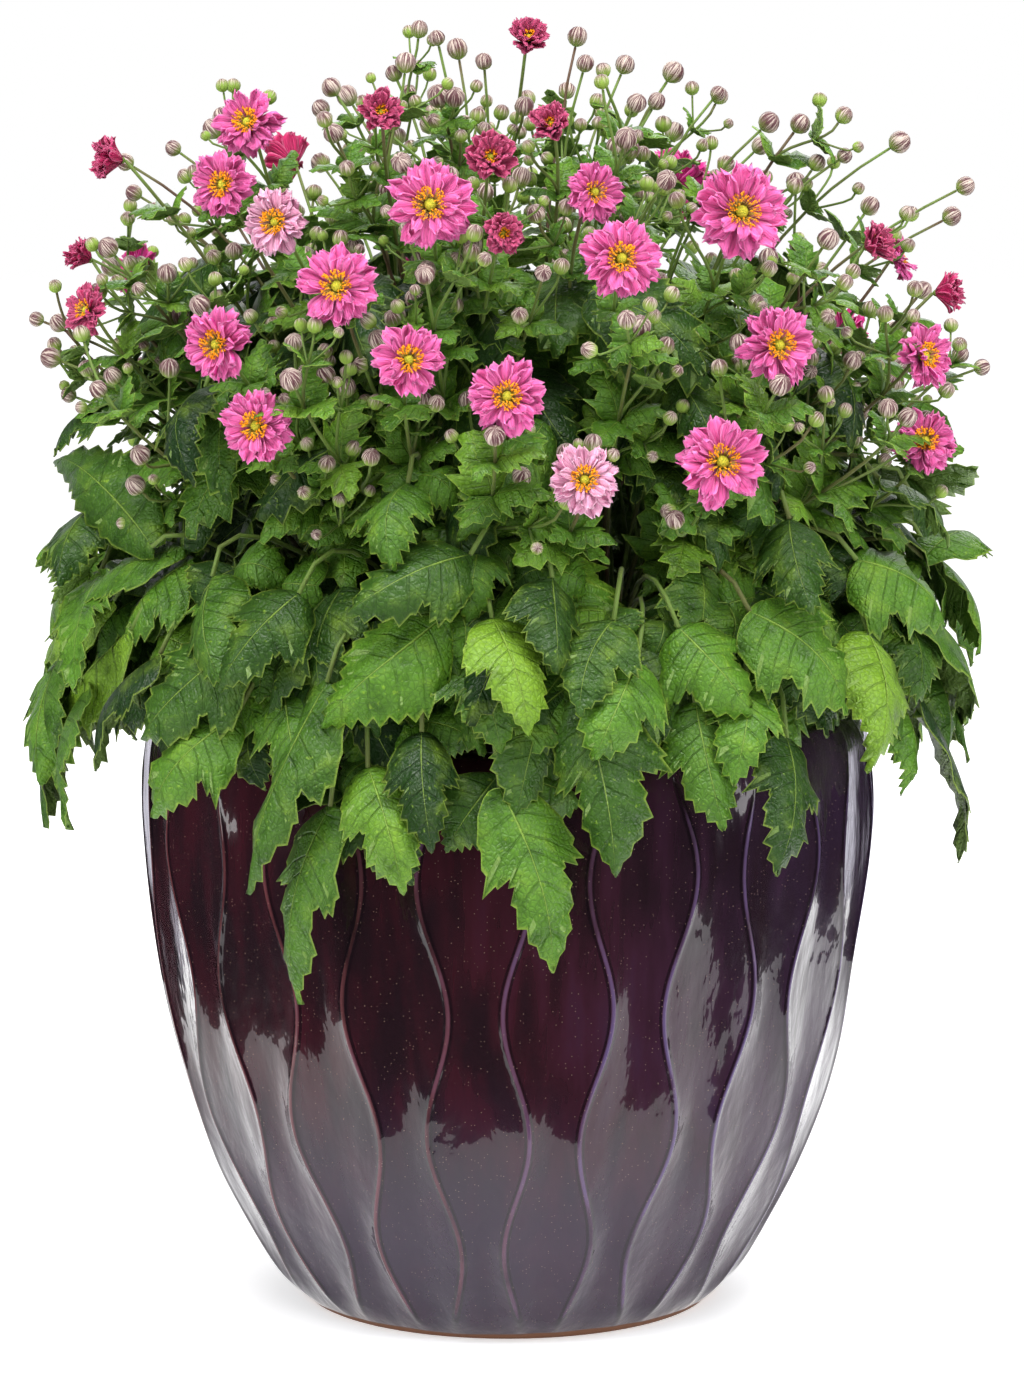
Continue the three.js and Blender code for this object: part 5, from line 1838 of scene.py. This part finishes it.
    def grow_bud(self, stalk: Points, size: float, seed: float, ripe: float) -> None:
        """Grows one round bud of overlapping silky leaves.

        Args:
            stalk: The points of its stalk, on whose end it stands.
            size: Its radius.
            seed: Makes its stripes its own.
            ripe: How silver it is.
        """
        at, along = stalk[-1], arrival(stalk)
        turn = full_turn(self.bud_sides)
        side = unit(np.cross(along, UP + 0.01))
        other = np.cross(along, side)
        rings = []
        for row in range(self.bud_rows):
            down = math.pi * (row + 0.7) / (self.bud_rows + 0.3)
            lapped = 1 - 0.07 * np.abs(np.cos(turn * 2.5 + 0.4 * row)) * math.sin(down)
            r = size * math.sin(down) * lapped
            z = size * (1 - 0.94 * math.cos(down))
            spokes = np.cos(turn)[:, None] * side + np.sin(turn)[:, None] * other
            rings.append(at + z * along + r[:, None] * spokes)
        self.buds.add(hoops(np.array(rings), at, at + 1.93 * size * along), tone=ripe, seed=seed % 50)

    def kept_inside(self, point: Points) -> Points:
        """A point drawn in to the dome's outermost reach.

        Args:
            point: The point.

        Returns:
            The point, or the nearest one inside.
        """
        z = min(float(point[2]), self.bud_height)
        most = max(0.06, min(1.05 * dome_radius(z), self.bud_reach))
        share = min(1.0, most / max(math.hypot(point[0], point[1]), 1e-6))
        return np.array([point[0] * share, point[1] * share, z])

    def clear_of_blooms(self, point: Points) -> bool:
        """Whether a point keeps off every bloom."""
        return all(distance(bloom.place, point) > bloom.radius * 0.75 + 0.006 for bloom in BLOOMS)

    def build(self, finishes: Finishes) -> None:
        """Makes the plant's three pieces.

        Args:
            finishes: Every material of the plants.
        """
        node = f"plant_{self.number + 1}"
        dressed = (("leaves", self.leaves, finishes.leaf), ("stems", self.stems, finishes.stem),
                   ("buds", self.buds, finishes.bud))
        for part, draft, finish in dressed:
            settle(draft.build(f"{node}_{part}", finish), "leaf_green", node)


def build_blooms(finishes: Finishes) -> None:
    """Makes the petals, the stamens, the boss and the cup of every bloom.

    Args:
        finishes: Every material of the plants.
    """
    for index, bloom in enumerate(BLOOMS):
        label = f"bloom_{index + 1:02d}"
        tint = tint_of(index + 1)
        petals, stamens, boss, cup = Draft(), Draft(), Draft(), Draft()
        bloom.add_petals(petals, index)
        bloom.add_stamens(stamens, index)
        bloom.add_boss(boss)
        bloom.add_cup(cup)
        centre = (f"{label}_centre",) if bloom.has_centre else ()
        settle(petals.build(f"{label}_petal_rings", finishes.petal[tint]), tint.value, f"{label}_petals")
        settle(stamens.build(f"{label}_stamens", finishes.stamen), "bloom_centre", *centre)
        settle(boss.build(f"{label}_boss", finishes.boss), "bloom_centre", *centre)
        settle(cup.build(f"{label}_calyx", finishes.stem), "leaf_green")


@dataclass
class Studio:
    """The floor, the lights and the camera."""

    # The stretch of floor that the glaze mirrors: wide, and cut off in front of the planter
    near_corners: tuple = ((-0.58, -0.345), (0.8, -0.345), (0.8, 0.9), (-0.58, 0.9))
    floor_reach: float = 9.0
    floor_gap: float = 0.0004
    # The world's colour and strength for the eye, for soft light and for what the glaze mirrors
    shown: tuple = ((1, 1, 1, 1), 1.0)
    lit: tuple = ((1, 1, 0.99, 1), 0.68)
    mirrored: tuple = ((0.9, 0.88, 1, 1), 0.03)
    # Between which directions the mirrored world turns from dim to white, behind the planter
    white_from: float = 0.74
    white_at: float = 0.9
    # Each lamp's name, place, the point it looks at, its width, height and power
    lamps: tuple = (
        ("light_top", (0.0, -0.9, 2.4), (0, 0, 0.45), 1.8, 1.2, 62),
        ("light_left", (-2.1, -1.3, 1.3), (0, 0, 0.45), 0.5, 2.4, 26),
        ("light_right", (2.1, -1.2, 1.3), (0, 0, 0.45), 0.6, 2.4, 26),
        ("light_back", (0.4, 2.2, 1.9), (0, 0, 0.5), 2.4, 1.2, 36),
    )
    camera_place: tuple = (0.0, -3.2, 0.869)
    camera_pitch: float = 8.59
    lens: float = 135.0
    sensor: float = 36.0
    shift_x: float = 0.0033
    sight: float = 50

    def build(self) -> None:
        """Sets everything up."""
        far = self.floor_reach
        self.floor("floor_near", self.near_corners, 0.0, True)
        self.floor("floor_far", ((-far, -far), (far, -far), (far, far), (-far, far)), -self.floor_gap, False)
        self.world()
        for lamp in self.lamps:
            self.softbox(*lamp)
        self.camera()

    def floor(self, name: str, corners: tuple, z: float, mirrored: bool) -> None:
        """Makes a stretch of floor.

        Args:
            name: Its name.
            corners: The x and y of its corners.
            z: Its height.
            mirrored: Whether the glaze mirrors it.
        """
        ring = np.array([(x, y, z) for x, y in corners])
        draft = Draft()
        draft.add(Form(ring, [np.arange(len(ring))[None, :]], [np.zeros((1, len(ring), 2))]))
        piece = draft.build(name, FloorFinish().material())
        piece.visible_glossy = mirrored
        piece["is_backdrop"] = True

    def world(self) -> None:
        """A pale world for the eye, with soft light, and a dim one in what the glaze mirrors."""
        world = bpy.data.worlds.new("studio")
        world.use_nodes = True
        tree = world.node_tree
        tree.nodes.clear()
        path, output, parts, ramp, place, glossy, seen, shown, lit, mirrored = (
            tree.nodes.new(f"ShaderNode{kind}") for kind in (
                "LightPath", "OutputWorld", "SeparateXYZ", "MapRange", "TexCoord", "MixShader", "MixShader",
                "Background", "Background", "Background"))
        for node, (colour, strength) in ((shown, self.shown), (lit, self.lit), (mirrored, self.mirrored)):
            node.inputs[0].default_value = colour
            node.inputs[1].default_value = strength
        for socket, value in zip(ramp.inputs[1:5], (self.white_from, self.white_at, self.mirrored[1], 1.0)):
            socket.default_value = value
        links = (
            (place.outputs["Generated"], parts.inputs[0]),
            (parts.outputs[1], ramp.inputs[0]),
            (ramp.outputs[0], mirrored.inputs[1]),
            (path.outputs["Is Glossy Ray"], glossy.inputs[0]),
            (lit.outputs[0], glossy.inputs[1]),
            (mirrored.outputs[0], glossy.inputs[2]),
            (path.outputs["Is Camera Ray"], seen.inputs[0]),
            (glossy.outputs[0], seen.inputs[1]),
            (shown.outputs[0], seen.inputs[2]),
            (seen.outputs[0], output.inputs[0]),
        )
        for start, end in links:
            tree.links.new(start, end)
        bpy.context.scene.world = world

    def softbox(self, name: str, at: tuple, towards: tuple, width: float, height: float,
                power: float) -> None:
        """Hangs a rectangular lamp.

        Args:
            name: Its name.
            at: Its place.
            towards: The point that it looks at.
            width: Its width.
            height: Its height.
            power: Its power in watts.
        """
        lamp = bpy.data.lights.new(name, "AREA")
        lamp.shape = "RECTANGLE"
        lamp.size = width
        lamp.size_y = height
        lamp.energy = power
        holder = bpy.data.objects.new(name, lamp)
        bpy.context.scene.collection.objects.link(holder)
        holder.location = at
        aim = holder.location.__class__(towards) - holder.location
        holder.rotation_euler = aim.to_track_quat("-Z", "Y").to_euler()

    def camera(self) -> None:
        """Stands the camera where the photograph was taken from."""
        eye = bpy.data.cameras.new("camera")
        eye.lens = self.lens
        eye.sensor_width = self.sensor
        eye.shift_x = self.shift_x
        eye.clip_end = self.sight
        holder = bpy.data.objects.new("camera", eye)
        bpy.context.scene.collection.objects.link(holder)
        holder.location = self.camera_place
        holder.rotation_euler = (math.radians(90 - self.camera_pitch), 0, 0)
        bpy.context.scene.camera = holder
        bpy.context.scene.view_settings.view_transform = "Standard"


def main() -> None:
    """Builds the planter, the soil, the plants, the blooms and the studio."""
    logging.basicConfig(level=logging.INFO, format="%(name)s: %(message)s")
    Planter().build(GlazeFinish().material())
    Soil().build(SoilFinish().material())
    finishes = Finishes()
    for number in range(PLANTS):
        plant = Plant(number)
        plant.grow()
        plant.build(finishes)
    build_blooms(finishes)
    Studio().build()
    total = sum(len(p.vertices) - 2 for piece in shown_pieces() for p in piece.data.polygons)
    LOG.info("%d triangles in all", total)


if __name__ == "__main__":
    main()
